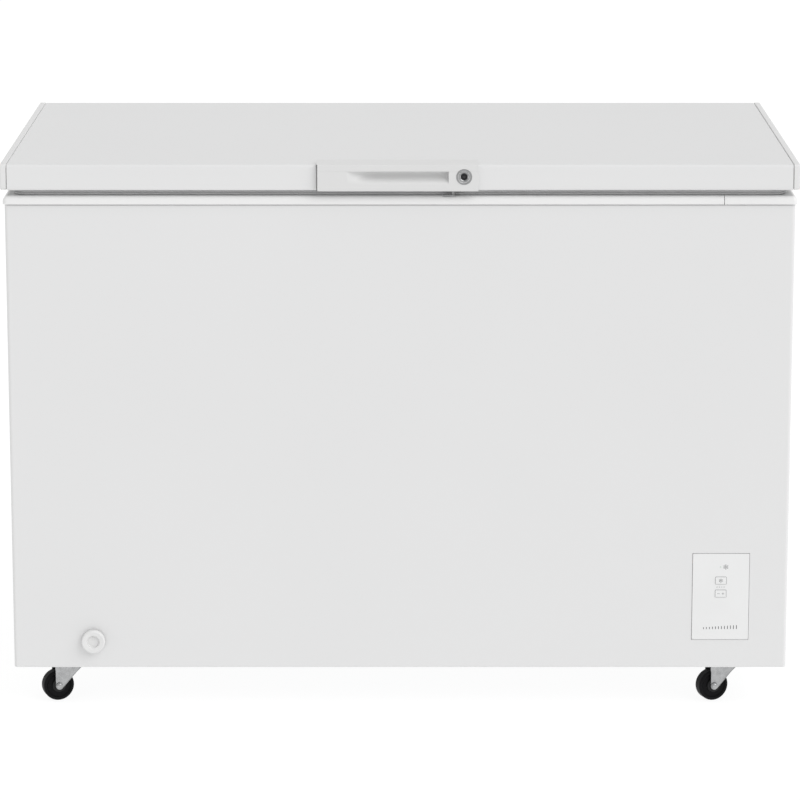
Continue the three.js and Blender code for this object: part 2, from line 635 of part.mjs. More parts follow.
function casterFork() {
  const { trail } = CASTER;
  const crown = 56; // underside of the crown
  const leg = new THREE.Shape();
  leg.moveTo(-trail - 6.5, crown + 3);
  leg.lineTo(-trail - 6.5, WHEEL_Z);
  leg.absarc(-trail, WHEEL_Z, 6.5, Math.PI, Math.PI * 1.8);
  leg.lineTo(3, 46);
  leg.lineTo(15, crown + 3);
  const inner = WHEEL.width / 2 + 1.2;
  const legs = [extrude(leg, 'xz', -inner - 2, -inner), extrude(leg, 'xz', inner, inner + 2)];
  return join([
    ...legs,
    rod('z', [0, 0], 16, crown, crown + 3, 16),
    block(-14, 14, -inner - 2, inner + 2, crown, crown + 3),
    rod('z', [0, 0], 6, crown, BODY.bottom - 1, 12),
    rod('y', [-trail, WHEEL_Z], 3, -inner - 3, inner + 3, 10),
    rod('y', [-trail, WHEEL_Z], 5, -inner - 4.5, -inner - 1, 6),
    rod('y', [-trail, WHEEL_Z], 5, inner + 1, inner + 4.5, 6),
  ]);
}

function casterWheel() {
  const facet = Math.PI / WHEEL.facets;
  const { radius, width, facets } = WHEEL;
  const tread = new THREE.CylinderGeometry(radius, radius, width, facets).rotateY(facet);
  tread.translate(-CASTER.trail, 0, WHEEL_Z);
  const dish = (low, high) => cut(
    rod('y', [-CASTER.trail, WHEEL_Z], radius - 6, low, high, facets),
    rod('y', [-CASTER.trail, WHEEL_Z], 8, low - 1, high + 1, 12),
  );
  return cut(
    solid(tread), dish(-width / 2 - 1, -width / 2 + 2.5), dish(width / 2 - 2.5, width / 2 + 1),
    rod('y', [-CASTER.trail, WHEEL_Z], 3.3, -30, 30, 10),
  );
}

for (const [name, x, y] of [
  ['front_left', -CASTER.x, CASTER.front], ['front_right', CASTER.x, CASTER.front],
  ['rear_left', -CASTER.x, CASTER.rear], ['rear_right', CASTER.x, CASTER.rear],
]) {
  const caster = new THREE.Group();
  caster.position.set(x, y, 0);
  const swivel = new THREE.Group();
  swivel.rotation.z = THREE.MathUtils.degToRad(CASTER.yaw);
  caster.add(swivel);
  freezer.add(caster);
  place(`caster_plate_${name}`, casterPlate(), zincSteel(), caster);
  place(`caster_fork_${name}`, casterFork(), zincSteel(), swivel);
  place(`caster_wheel_${name}`, casterWheel(), blackRubber(), swivel);
}

export default freezer;
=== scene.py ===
"""A white chest freezer on casters: the looks of its pieces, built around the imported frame.

Metres, +Z up, front at -Y.
"""
import json
import math

import bmesh
import bpy
import numpy as np
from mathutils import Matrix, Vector
from mathutils.geometry import tessellate_polygon


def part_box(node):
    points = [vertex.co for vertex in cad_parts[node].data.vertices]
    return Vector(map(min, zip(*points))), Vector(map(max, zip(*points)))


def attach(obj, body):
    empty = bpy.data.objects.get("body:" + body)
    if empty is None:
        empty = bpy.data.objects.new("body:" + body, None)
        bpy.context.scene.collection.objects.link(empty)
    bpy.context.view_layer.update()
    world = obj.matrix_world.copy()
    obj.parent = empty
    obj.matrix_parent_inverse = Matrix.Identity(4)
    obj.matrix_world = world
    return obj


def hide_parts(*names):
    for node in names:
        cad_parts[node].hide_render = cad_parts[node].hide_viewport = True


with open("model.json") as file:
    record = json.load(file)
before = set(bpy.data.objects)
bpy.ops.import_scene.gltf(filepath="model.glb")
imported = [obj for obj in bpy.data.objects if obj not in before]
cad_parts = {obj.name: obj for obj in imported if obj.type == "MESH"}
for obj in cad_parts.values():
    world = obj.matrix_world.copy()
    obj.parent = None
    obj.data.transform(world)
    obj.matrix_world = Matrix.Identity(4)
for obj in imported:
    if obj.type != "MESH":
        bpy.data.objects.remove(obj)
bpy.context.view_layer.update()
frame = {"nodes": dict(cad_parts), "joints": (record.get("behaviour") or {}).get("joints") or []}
nodes = frame["nodes"]

# --------------------------------------------------------------------------------------------------
# The studio: a camera a little above the lid, a pale even surround, one wide soft light high on the right,
# and a white floor that glows from below, as a light table does, so that the freezer stands almost without a
# shadow.
camera_distance = 5.89  # from the lid's front edge
camera_height = 1.783
camera_tilt = math.radians(12.28)
floor_half = 60
lid_low, lid_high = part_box("lid_skin")

camera_data = bpy.data.cameras.new("camera")
camera_data.lens = 174.2
camera_data.clip_end = 200
camera = bpy.data.objects.new("camera", camera_data)
camera.location = (0, lid_low.y - camera_distance, camera_height)
camera.rotation_euler = (math.pi / 2 - camera_tilt, 0, 0)
bpy.context.scene.collection.objects.link(camera)
bpy.context.scene.camera = camera
bpy.context.scene.view_settings.view_transform = "Standard"

world = bpy.data.worlds.new("surround")
world.use_nodes = True
world.node_tree.nodes["Background"].inputs["Color"].default_value = (1, 1, 1, 1)
world.node_tree.nodes["Background"].inputs["Strength"].default_value = 0.75
bpy.context.scene.world = world

sun_data = bpy.data.lights.new("soft_key", "SUN")
sun_data.energy = 1.25
sun_data.angle = math.radians(50)
sun = bpy.data.objects.new("soft_key", sun_data)
sun.rotation_euler = (math.radians(46), 0, math.radians(54))  # from high on the right, a little in front
bpy.context.scene.collection.objects.link(sun)

floor_material = bpy.data.materials.new("studio_floor")
floor_material.use_nodes = True
floor_shader = floor_material.node_tree.nodes["Principled BSDF"]
floor_shader.inputs["Base Color"].default_value = (0.15, 0.15, 0.15, 1)
floor_shader.inputs["Emission Color"].default_value = (1, 1, 1, 1)
floor_shader.inputs["Emission Strength"].default_value = 0.90
floor_shader.inputs["Specular IOR Level"].default_value = 0
floor_shader.inputs["Roughness"].default_value = 0.9
floor_mesh = bpy.data.meshes.new("studio_floor")
floor_corners = [(floor_half * x, floor_half * y, 0) for x, y in ((-1, -1), (1, -1), (1, 1), (-1, 1))]
floor_mesh.from_pydata(floor_corners, [], [(0, 1, 2, 3)])
floor_mesh.materials.append(floor_material)
floor = bpy.data.objects.new("studio_floor", floor_mesh)
bpy.context.scene.collection.objects.link(floor)

# --------------------------------------------------------------------------------------------------
# Cabinet sheet: one painted steel sheet folded round the front and both sides, with a hem turned in at the
# foot and openings for the control panel, the drain and the side vent.


def finish(name, colour, rough, metal=0.0, coat=0.0, specular=0.5, grain=(900, 0.02), mottle=(6, 0.03)):
    """A finish with two noises on the piece's own coordinates. The fine one, grain, raises the surface a
    little and shifts its roughness by a tenth, and the slow one, mottle, shifts its colour. Each is (scale,
    strength)."""
    material = bpy.data.materials.new(name)
    material.use_nodes = True
    tree = material.node_tree
    shader = tree.nodes["Principled BSDF"]
    shader.inputs["Metallic"].default_value = metal
    shader.inputs["Specular IOR Level"].default_value = specular
    shader.inputs["Coat Weight"].default_value = coat
    shader.inputs["Coat Roughness"].default_value = 0.12
    place = tree.nodes.new("ShaderNodeTexCoord")
    slow = tree.nodes.new("ShaderNodeTexNoise")
    slow.inputs["Scale"].default_value = mottle[0]
    slow.inputs["Detail"].default_value = 3
    tree.links.new(place.outputs["Object"], slow.inputs["Vector"])
    ramp = tree.nodes.new("ShaderNodeValToRGB")
    ramp.color_ramp.elements[0].position, ramp.color_ramp.elements[1].position = 0.3, 0.7
    ramp.color_ramp.elements[0].color = (*[c * (1 - mottle[1]) for c in colour], 1)
    ramp.color_ramp.elements[1].color = (*[min(c * (1 + mottle[1]), 1) for c in colour], 1)
    tree.links.new(slow.outputs["Fac"], ramp.inputs["Fac"])
    tree.links.new(ramp.outputs["Color"], shader.inputs["Base Color"])
    fine = tree.nodes.new("ShaderNodeTexNoise")
    fine.inputs["Scale"].default_value = grain[0]
    fine.inputs["Detail"].default_value = 2
    tree.links.new(place.outputs["Object"], fine.inputs["Vector"])
    spread = tree.nodes.new("ShaderNodeMapRange")
    spread.inputs["To Min"].default_value, spread.inputs["To Max"].default_value = rough * 0.9, rough * 1.1
    tree.links.new(fine.outputs["Fac"], spread.inputs["Value"])
    tree.links.new(spread.outputs["Result"], shader.inputs["Roughness"])
    bump = tree.nodes.new("ShaderNodeBump")
    bump.inputs["Strength"].default_value = grain[1]
    bump.inputs["Distance"].default_value = 0.001
    tree.links.new(fine.outputs["Fac"], bump.inputs["Height"])
    tree.links.new(bump.outputs["Normal"], shader.inputs["Normal"])
    return material


def lattice(points, round_u=False, round_v=False, ends=False, keep=None):
    """A grid of points, rows by columns, as vertices and four-sided faces between neighbours. round_u joins
    the last column to the first, round_v the last row to the first, and ends closes the first and last rows
    with a face each. keep says which of the faces stay, as a grid of true and false."""
    rows, columns = points.shape[:2]
    index = np.arange(rows * columns).reshape(rows, columns)
    ring = np.hstack([index, index[:, :1]]) if round_u else index
    ring = np.vstack([ring, ring[:1]]) if round_v else ring
    quads = np.stack([ring[:-1, :-1], ring[:-1, 1:], ring[1:, 1:], ring[1:, :-1]], -1)
    quads = quads.reshape(-1, 4) if keep is None else quads[keep]
    faces = quads.tolist()
    if ends:
        faces += [index[0, ::-1].tolist(), index[-1].tolist()]
    used = np.unique(np.concatenate([np.ravel(quads), index[0], index[-1]]) if ends else quads)
    renumber = np.zeros(rows * columns, int)
    renumber[used] = np.arange(len(used))
    return points.reshape(-1, 3)[used], [renumber[face].tolist() for face in faces]


def make(name, parts, material, body, stands_for=(), wall=0.0, edge=0.0, sharp=35, closed=True):
    """One object from a list of lattices, welded, with its faces pointing out, ridden on its body. wall gives
    a sheet its thickness inwards, and edge rounds what is sharper than the sharp angle. closed is False for
    an open sheet, whose faces already point out."""
    points, faces, count = [], [], 0
    for vertices, polygons in parts:
        points.append(vertices)
        faces += [[count + i for i in polygon] for polygon in polygons]
        count += len(vertices)
    mesh = bpy.data.meshes.new(name)
    mesh.from_pydata(np.concatenate(points).tolist(), [], faces)
    work = bmesh.new()
    work.from_mesh(mesh)
    bmesh.ops.remove_doubles(work, verts=work.verts, dist=1e-6)
    bmesh.ops.dissolve_degenerate(work, edges=work.edges, dist=1e-7)
    if closed:
        bmesh.ops.recalc_face_normals(work, faces=work.faces)
    work.to_mesh(mesh)
    work.free()
    mesh.polygons.foreach_set("use_smooth", np.ones(len(mesh.polygons), bool))
    mesh.set_sharp_from_angle(angle=math.radians(sharp))
    mesh.materials.append(material)
    piece = bpy.data.objects.new(name, mesh)
    bpy.context.scene.collection.objects.link(piece)
    if wall:
        solid = piece.modifiers.new("wall", "SOLIDIFY")
        solid.thickness, solid.offset = wall, -1
    if edge:
        bevel = piece.modifiers.new("edge", "BEVEL")
        bevel.width, bevel.segments, bevel.limit_method = edge, 3, "ANGLE"
        bevel.angle_limit = math.radians(sharp)
    normals = piece.modifiers.new("flat_faces_stay_flat", "WEIGHTED_NORMAL")
    normals.keep_sharp = True
    normals.weight = 100
    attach(piece, body)
    if stands_for:
        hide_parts(*stands_for)
    return piece


def outline(x0, x1, y0, y1, radius, steps=8, breaks_x=(), breaks_y=(), rear=True):
    """A rounded rectangle's points, from its rear left corner by the front to the rear right one, and on
    along the rear unless that is open. Straight sides have a point at each break, and a corner is a quarter
    circle."""
    low, high = y0 + radius, y1 - radius if rear else y1
    side = np.unique([low, high, *[b for b in breaks_y if low < b < high]])
    front = np.unique([x0 + radius, x1 - radius, *[b for b in breaks_x if x0 + radius < b < x1 - radius]])
    turn = np.linspace(0, math.pi / 2, steps + 1)[1:-1]

    def corner(x, y, start):
        return np.c_[x + radius * np.cos(start + turn), y + radius * np.sin(start + turn)]

    pieces = [
        np.c_[np.full(len(side), x0), side[::-1]], corner(x0 + radius, low, math.pi),
        np.c_[front, np.full(len(front), y0)], corner(x1 - radius, low, math.pi * 1.5),
        np.c_[np.full(len(side), x1), side],
    ]
    if rear:
        pieces += [
            corner(x1 - radius, high, 0), np.c_[front[::-1], np.full(len(front), y1)],
            corner(x0 + radius, high, math.pi / 2),
        ]
    return np.concatenate(pieces)


def stack(box, rows, axes=(0, 1, 2), **options):
    """Rounded rectangles stacked along the third axis. Each row is (inset, radius, height), and box is the
    outermost rectangle. axes says which of x, y and z the two sides and the height run along."""
    x0, x1, y0, y1 = box
    layers = []
    for inset, radius, height in rows:
        flat = outline(x0 + inset, x1 - inset, y0 + inset, y1 - inset, radius, **options)
        layers.append(np.c_[flat, np.full(len(flat), height)])
    placed = np.empty((len(layers), len(layers[0]), 3))
    placed[..., list(axes)] = np.stack(layers)
    return placed


def arc_rows(inset, height, radius, start, end, corner, steps=5):
    """Rows along a quarter round seen in section: its centre is (inset, height), angles run from outwards, 0,
    to upwards, 90 degrees."""
    angles = np.radians(np.linspace(start, end, steps + 1))
    return [(inset - radius * math.cos(a), corner, height + radius * math.sin(a)) for a in angles]


white_paint = finish("white_paint", (0.715, 0.716, 0.717), 0.36, coat=0.2,
                     grain=(700, 0.012), mottle=(2.5, 0.006))
body_low, body_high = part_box("outer_wrapper")
panel_low, panel_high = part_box("control_panel_bezel")
spout_low, spout_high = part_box("drain_spout")
vent_low, vent_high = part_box("side_vent_grille")
seam = 0.0005  # shut line round the control panel
vent_lip = 0.015
drain_hole = 0.0105
body_corner = 0.005
hem, foot_round = 0.012, 0.0015
sheet_gauge = 0.0009
waist_z = 0.45  # a plain level halfway up the sheet
touch = 0.0001  # a face lies in a plane when its middle is nearer than this
drain_x = (spout_low.x + spout_high.x) / 2
drain_z = (spout_low.z + spout_high.z) / 2
panel_hole = (panel_low.x - seam, panel_high.x + seam, panel_low.z - seam, panel_high.z + seam)
drain_square = (drain_x - drain_hole, drain_x + drain_hole, drain_z - drain_hole, drain_z + drain_hole)
vent_hole = (vent_low.y + vent_lip, vent_high.y - vent_lip, vent_low.z + vent_lip, vent_high.z - vent_lip)
levels = np.unique([*panel_hole[2:], *drain_square[2:], *vent_hole[2:], body_low.z + 0.0025, waist_z,
                    body_high.z - 0.0018])
sheet_rows = [(hem, 0.001, body_low.z)]
sheet_rows += arc_rows(foot_round, body_low.z + foot_round, foot_round, -90, 0, body_corner)
sheet_rows += [(0, body_corner, z) for z in levels]
sheet_rows += [(0.0006, body_corner - 0.0006, body_high.z - 0.0009),
               (0.0024, body_corner - 0.0024, body_high.z)]
sheet = stack(
    (body_low.x, body_high.x, body_low.y, body_high.y), sheet_rows,
    breaks_x=(*panel_hole[:2], *drain_square[:2], 0), breaks_y=vent_hole[:2], rear=False, steps=12,
)
middles = (sheet[:-1, :-1] + sheet[1:, 1:]) / 2


def within(u, v, hole):
    """True where the point (u, v) lies inside the rectangle (lowest u, highest u, lowest v, highest v)."""
    return (u > hole[0]) & (u < hole[1]) & (v > hole[2]) & (v < hole[3])


on_front = middles[..., 1] < body_low.y + touch
on_right = middles[..., 0] > body_high.x - touch
cut_away = on_front & within(middles[..., 0], middles[..., 2], panel_hole)
cut_away |= on_front & within(middles[..., 0], middles[..., 2], drain_square)
cut_away |= on_right & within(middles[..., 1], middles[..., 2], vent_hole)
make("cabinet_sheet", [lattice(sheet, keep=~cut_away)], white_paint, "cabinet",
     ["outer_wrapper"], wall=sheet_gauge, closed=False)

# --------------------------------------------------------------------------------------------------
# Rear panel and base: flat galvanised and painted sheet, screwed on. The screws are zinc-plated pan heads
# with a cross recess.
zinc_steel = finish("zinc_steel", (0.62, 0.63, 0.64), 0.34, metal=1.0, grain=(420, 0.03), mottle=(40, 0.10))


def refinish(material, *names):
    """Gives carried-over CAD nodes their finish."""
    for name in names:
        nodes[name].data.materials.clear()
        nodes[name].data.materials.append(material)


refinish(white_paint, "rear_panel")
refinish(zinc_steel, "base_pan", "rear_vent_cover", "bay_bulkhead", "compressor_tray")


def screw_heads(places, axis, radius=0.0042, height=0.0018):
    """Pan heads: a disc in rings whose height falls as the square root of one less the radius squared, sunk
    where it lies in the arms of a cross. axis is the outward direction, as 0, 1, 2 and a sign."""
    arm_half, arm_reach, recess = 0.13, 0.56, 0.55
    rings = np.array([0.0, 0.12, 0.2, 0.3, 0.42, 0.5, 0.62, 0.75, 0.88, 0.96, 1.0])
    angles = np.linspace(0, math.tau, 33)[:-1]
    r, a = np.meshgrid(rings, angles, indexing="ij")
    u, v = r * np.cos(a), r * np.sin(a)
    lift = 0.25 + 0.75 * np.sqrt(np.clip(1 - r**2, 0, 1))
    lift[-1] = 0
    cross = (np.minimum(abs(u), abs(v)) < arm_half) & (np.maximum(abs(u), abs(v)) < arm_reach)
    lift = np.where(cross, lift - recess, lift)
    direction, sign = axis
    flat = [i for i in range(3) if i != direction]
    heads = []
    for place in places:
        head = np.empty((*r.shape, 3))
        head[..., flat[0]] = place[flat[0]] + radius * u
        head[..., flat[1]] = place[flat[1]] + radius * v
        head[..., direction] = place[direction] + sign * height * lift
        heads.append(lattice(head, round_u=True, ends=True))
    return heads


rear_low, rear_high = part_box("rear_panel")
rear_margin, cover_margin = 0.012, 0.008
side_heights = (0.25, 0.44, 0.63)
rear_x = (rear_low.x + rear_margin, rear_high.x - rear_margin)
rear_z = (rear_low.z + rear_margin, rear_high.z - rear_margin)
rear_screws = [(x, rear_high.y, z) for x in np.linspace(*rear_x, 5) for z in rear_z]
rear_screws += [(x, rear_high.y, z) for x in rear_x for z in side_heights]
make("rear_screws", screw_heads(rear_screws, (1, 1)), zinc_steel, "cabinet")
cover_low, cover_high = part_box("rear_vent_cover")
cover_screws = [(x, cover_high.y, z) for x in (cover_low.x + cover_margin, cover_high.x - cover_margin)
                for z in (cover_low.z + cover_margin, cover_high.z - cover_margin)]
make("cover_screws", screw_heads(cover_screws, (1, 1), 0.0036, 0.0012), zinc_steel, "cabinet")

# --------------------------------------------------------------------------------------------------
# Side vent: one white moulding of a frame and nine sloping blades, clipped into the right side over the
# compressor bay to let its warm air out.
white_plastic = finish("white_plastic", (0.72, 0.72, 0.718), 0.40, coat=0.08,
                       grain=(1400, 0.03), mottle=(9, 0.006))
frame_box = (vent_low.y, vent_high.y, vent_low.z, vent_high.z)
frame_rim, rim_round = 0.014, 0.0012
round_x = vent_high.x - rim_round
vent_rows = [(0, 0.006, vent_low.x), *arc_rows(rim_round, round_x, rim_round, 0, 90, 0.006),
             *arc_rows(frame_rim - rim_round, round_x, rim_round, 90, 180, 0.003),
             (frame_rim, 0.003, vent_low.x)]
vent_frame = lattice(stack(frame_box, vent_rows, axes=(1, 2, 0)), round_u=True, round_v=True)
blade_count, blade_half, blade_thick, blade_tilt = 9, 0.0040, 0.0018, math.radians(52)
blade_pitch = (vent_high.z - vent_low.z - 2 * frame_rim) / blade_count
blade_section = outline(-blade_half, blade_half, -blade_thick / 2, blade_thick / 2, 0.0008, steps=4)
blade_section = blade_section @ np.array([[math.cos(blade_tilt), math.sin(blade_tilt)],
                                          [-math.sin(blade_tilt), math.cos(blade_tilt)]])
blade_ends = (vent_low.y + frame_rim - 0.001, vent_high.y - frame_rim + 0.001)


def bar(flat, ends, axes):
    """A flat outline carried straight between two places along the third axis, closed at both ends. axes says
    which of x, y and z the outline's two directions and its path run along."""
    points = np.empty((2, len(flat), 3))
    points[..., list(axes[:2])] = flat
    points[..., axes[2]] = np.array(ends)[:, None]
    return lattice(points, round_u=True, ends=True)


blades = []
for i in range(blade_count):
    blade_place = (vent_low.x - 0.0005, vent_low.z + frame_rim + (i + 0.5) * blade_pitch)
    blades.append(bar(blade_section * (-1, 1) + blade_place, blade_ends, (0, 2, 1)))
make("side_vent", [vent_frame, *blades], white_plastic, "cabinet", ["side_vent_grille"])

# --------------------------------------------------------------------------------------------------
# Tub: one vacuum-formed white liner with generous corners and a raised step over the compressor bay. Its top
# edge is turned out under the collar, and its floor has a drain mouth.
liner_white = finish("liner_white", (0.76, 0.77, 0.775), 0.30, coat=0.15,
                     grain=(260, 0.02), mottle=(5, 0.006))
collar_low, collar_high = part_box("collar_trim")
liner_low, liner_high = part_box("inner_liner")
bulkhead_low, bulkhead_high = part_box("bay_bulkhead")
wall_x, wall_front, wall_rear = 0.5500, -0.2850, 0.2800
tub_floor = liner_low.z + 0.0015
foam_beside, foam_above = 0.051, 0.049  # between the compressor bay and the step
step_x, step_z, step_fall = bulkhead_low.x - foam_beside, bulkhead_high.z + foam_above, 0.003
round_step, round_floor = 0.018, 0.022
tub_corner, turned_out = 0.030, 0.024
plain_z = (0.60, 0.22)  # levels on the straight walls above and below the step
down = np.radians(np.linspace(0, 90, 7))
right_edge = [(wall_x, liner_high.z), (wall_x, plain_z[0]), (wall_x, step_z + round_step)]
right_edge += [(wall_x - round_step * (1 - math.cos(a)), step_z + round_step * (1 - math.sin(a)))
               for a in down[1:]]
right_edge += [(step_x + round_step * (1 - math.sin(a)), step_z - step_fall - round_step * (1 - math.cos(a)))
               for a in down]
right_edge += [(step_x, plain_z[1]), (step_x, tub_floor + round_floor)]
tub_rings = [outline(-wall_x - turned_out, wall_x + turned_out, wall_front - turned_out,
                     wall_rear + turned_out, 0.045)]
tub_heights = [liner_high.z]
for right, height in right_edge:
    tub_rings.append(outline(-wall_x, right, wall_front, wall_rear, tub_corner))
    tub_heights.append(height)
for a in down[1:]:
    inset = round_floor * (1 - math.cos(a))
    tub_rings.append(outline(-wall_x + inset, step_x - inset, wall_front + inset, wall_rear - inset,
                             tub_corner - inset))
    tub_heights.append(tub_floor + round_floor * (1 - math.sin(a)))
tub = np.stack([np.c_[ring, np.full(len(ring), height)] for ring, height in zip(tub_rings, tub_heights)])
plug_low, plug_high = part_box("drain_plug")
plug_centre = ((plug_low.x + plug_high.x) / 2, (plug_low.y + plug_high.y) / 2, 0)
around = np.linspace(0, math.tau, 49)[:-1]
mouth = np.empty((3, len(around), 3))
mouth_radius = np.array([0.0150, 0.0130, 0.0120])[:, None]
mouth[..., 0] = plug_centre[0] + mouth_radius * np.cos(around)
mouth[..., 1] = plug_centre[1] + mouth_radius * np.sin(around)
mouth[..., 2] = tub_floor - np.array([0, 0.0005, 0.0014])[:, None]
floor_points = np.concatenate([tub[-1], mouth[0]])
floor_faces = np.array(tessellate_polygon([[Vector(p) for p in tub[-1]], [Vector(p) for p in mouth[0]]]))
corner_a, corner_b, corner_c = floor_points[floor_faces].transpose(1, 0, 2)
face_down = np.cross(corner_b - corner_a, corner_c - corner_a)[:, 2] < 0
floor_faces[face_down] = floor_faces[face_down, ::-1]
make("tub", [lattice(tub, round_u=True), (floor_points, floor_faces.tolist()), lattice(mouth, round_u=True)],
     liner_white, "cabinet", ["inner_liner"], wall=0.0013, sharp=60, closed=False)

# --------------------------------------------------------------------------------------------------
# Collar: a white plastic rim clipped over the cabinet's top edge, softly rounded outside, with a separate
# corner piece at the front right and a lip inside that the basket hangs on.
# The collar's white is a lighter copy of the white plastic: painted light that makes up for the shade the lid
# casts over the collar.
collar_white_painted_light = finish("collar_white_painted_light", (0.78, 0.78, 0.778), 0.38, coat=0.1,
                      grain=(1400, 0.03), mottle=(9, 0.006))
collar_box = (collar_low.x, collar_high.x, collar_low.y, collar_high.y)
corner_x, corner_y = 0.5000, -0.2350  # where the corner piece ends
seam_half, collar_wall, collar_corner = 0.0004, 0.0022, 0.007
foot_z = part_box("collar_corner_trim")[0].z
round_z, round_in = foot_z + 0.0027, 0.0075  # where the outer face starts to turn in, and how far it goes
collar_rows = [(0.0052, foot_z + 0.0003), (0.0008, foot_z), (0, foot_z + 0.0007), (0, round_z)]
collar_rows += [(round_in * (1 - math.cos(a)), round_z + (collar_high.z - round_z) * math.sin(a))
                for a in np.radians(np.linspace(0, 90, 9))[1:]]
collar_rows = [(inset, max(collar_corner - inset, 0.001), height) for inset, height in collar_rows]
collar_rows += [(0.0610, 0.030, collar_high.z), (0.0634, 0.0285, collar_high.z - 0.0006),
                (0.0650, 0.028, collar_high.z - 0.0030), (0.0650, 0.028, collar_low.z + 0.0045)]
collar = stack(collar_box, collar_rows, breaks_x=(corner_x - seam_half, corner_x + seam_half),
               breaks_y=(corner_y - seam_half, corner_y + seam_half), steps=10)
ring_middles = (collar[:-1] + np.roll(collar, -1, axis=1)[1:]) / 2
beyond_x = ring_middles[..., 0] > corner_x
before_y = ring_middles[..., 1] < corner_y
in_corner = (ring_middles[..., 0] > corner_x + seam_half) & (ring_middles[..., 1] < corner_y - seam_half)
in_seam = ((abs(ring_middles[..., 0] - corner_x) < seam_half) & before_y
           | (abs(ring_middles[..., 1] - corner_y) < seam_half) & beyond_x)
make("collar", [lattice(collar, round_u=True, keep=~(in_corner | in_seam))], collar_white_painted_light, "cabinet",
     ["collar_trim"], wall=collar_wall, closed=False)
make("collar_corner", [lattice(collar, round_u=True, keep=in_corner)], collar_white_painted_light, "cabinet",
     ["collar_corner_trim"], wall=collar_wall, closed=False)
ledge_reach, ledge_half, ledge_end = 0.012, 0.002, 0.03
ledge_section = outline(0, ledge_reach, -ledge_half, ledge_half, 0.0012, steps=4)
ledges = []
for edge_y, inward in ((wall_front + 0.0005, 1), (wall_rear - 0.0005, -1)):
    ledge = ledge_section * (inward, 1) + (edge_y, collar_low.z + ledge_half)
    ledges.append(bar(ledge, (-wall_x + ledge_end, wall_x - ledge_end), (1, 2, 0)))
make("collar_ledges", ledges, white_plastic, "cabinet")

# --------------------------------------------------------------------------------------------------
# Gasket: a soft grey vinyl seal with a magnetic strip in its foot and a bellows on each side, pressed into
# the lid's rim.
gasket_grey = finish("gasket_grey", (0.60, 0.60, 0.602), 0.62, grain=(600, 0.04), mottle=(30, 0.04))
seal_low, seal_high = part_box("lid_gasket")
seal_width = 0.022
fold = 0.0028
seal_height = seal_high.z - seal_low.z
seal_rows = [(0.006, 0.016, seal_height), (0.006, 0.016, 0.0074), (0.0006, 0.020, 0.0068), (0, 0.020, 0.0062),
             (0.0012, 0.019, 0.0044), (fold, 0.018, 0.0036), (0.0012, 0.019, 0.0028), (0, 0.020, 0.0018),
             (0, 0.020, 0.0008), (0.001, 0.020, 0), (seal_width - 0.001, 0.012, 0),
             (seal_width - fold / 2, 0.012, 0.0017), (seal_width, 0.012, 0.0037),
             (seal_width - fold, 0.012, 0.0057), (seal_width, 0.012, 0.0077), (seal_width, 0.012, seal_height)]
seal_rows = [(inset, corner, seal_low.z + rise) for inset, corner, rise in seal_rows]
gasket = stack((seal_low.x, seal_high.x, seal_low.y, seal_high.y), seal_rows)
make("gasket", [lattice(gasket, round_u=True, round_v=True)], gasket_grey, "lid",
     ["lid_gasket"])

# --------------------------------------------------------------------------------------------------
# Lid sheet: one painted steel panel bent down at the front and rear, its edges folded in at the foot, with an
# opening behind the grip.
bend, fold_in, fold_round = 0.0035, 0.010, 0.0012
grip = (-0.0860, 0.0780, 0.8393, 0.8640)  # the opening's sides in x and its foot and top in z
round_bend = np.radians(np.linspace(0, 90, 8))
front_bend = np.c_[lid_low.y + bend - bend * np.cos(round_bend), lid_high.z - bend + bend * np.sin(round_bend)]
rear_bend = np.c_[lid_high.y - bend + bend * np.sin(round_bend), lid_high.z - bend + bend * np.cos(round_bend)]
lid_path = np.concatenate([
    [(lid_low.y + fold_in, lid_low.z), (lid_low.y + fold_round, lid_low.z),
     (lid_low.y, lid_low.z + fold_round), (lid_low.y, grip[2]), (lid_low.y, grip[3] - touch)],
    front_bend, [(0, lid_high.z)], rear_bend,
    [(lid_high.y, lid_low.z + fold_round), (lid_high.y - fold_round, lid_low.z),
     (lid_high.y - fold_in, lid_low.z)],
])
lid_x = np.array([lid_low.x, grip[0], grip[1], lid_high.x])
lid_grid = np.empty((len(lid_path), len(lid_x), 3))
lid_grid[..., 0] = lid_x
lid_grid[..., 1:] = lid_path[:, None]
lid_middles = (lid_grid[:-1, :-1] + lid_grid[1:, 1:]) / 2
grip_gap = (lid_middles[..., 1] < lid_low.y + touch) & within(lid_middles[..., 0], lid_middles[..., 2], grip)
make("lid_sheet", [lattice(lid_grid[:, ::-1], keep=~grip_gap[:, ::-1])], white_paint, "lid",
     ["lid_skin"], wall=sheet_gauge, closed=False)

# --------------------------------------------------------------------------------------------------
# End caps: white moulded pieces pushed over the lid's two ends, which hide the sheet's cut edges and stand a
# little proud of it.
cap_round, cap_corner = 0.0022, 0.005
for side, name in ((-1, "left"), (1, "right")):
    cap_low, cap_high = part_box(f"lid_end_cap_{name}")
    inner, outer = (cap_low.x, cap_high.x) if side > 0 else (cap_high.x, cap_low.x)
    rows = [(inset, inner + side * depth) for inset, depth in ((0.0017, 0), (0.0016, 0.0007), (0.0005, 0.0010),
                                                               (0, 0.0016))]
    rows += [(inset, outer + side * (height - cap_round))
             for inset, _, height in arc_rows(cap_round, 0, cap_round, 0, 90, 0)]
    rows = [(inset, cap_corner - inset, x) for inset, x in rows]
    end_cap = stack((cap_low.y, cap_high.y, cap_low.z, cap_high.z), rows, axes=(1, 2, 0))
    make(f"lid_cap_{name}", [lattice(end_cap, round_u=True, ends=True)], white_plastic, "lid",
         [f"lid_end_cap_{name}"])

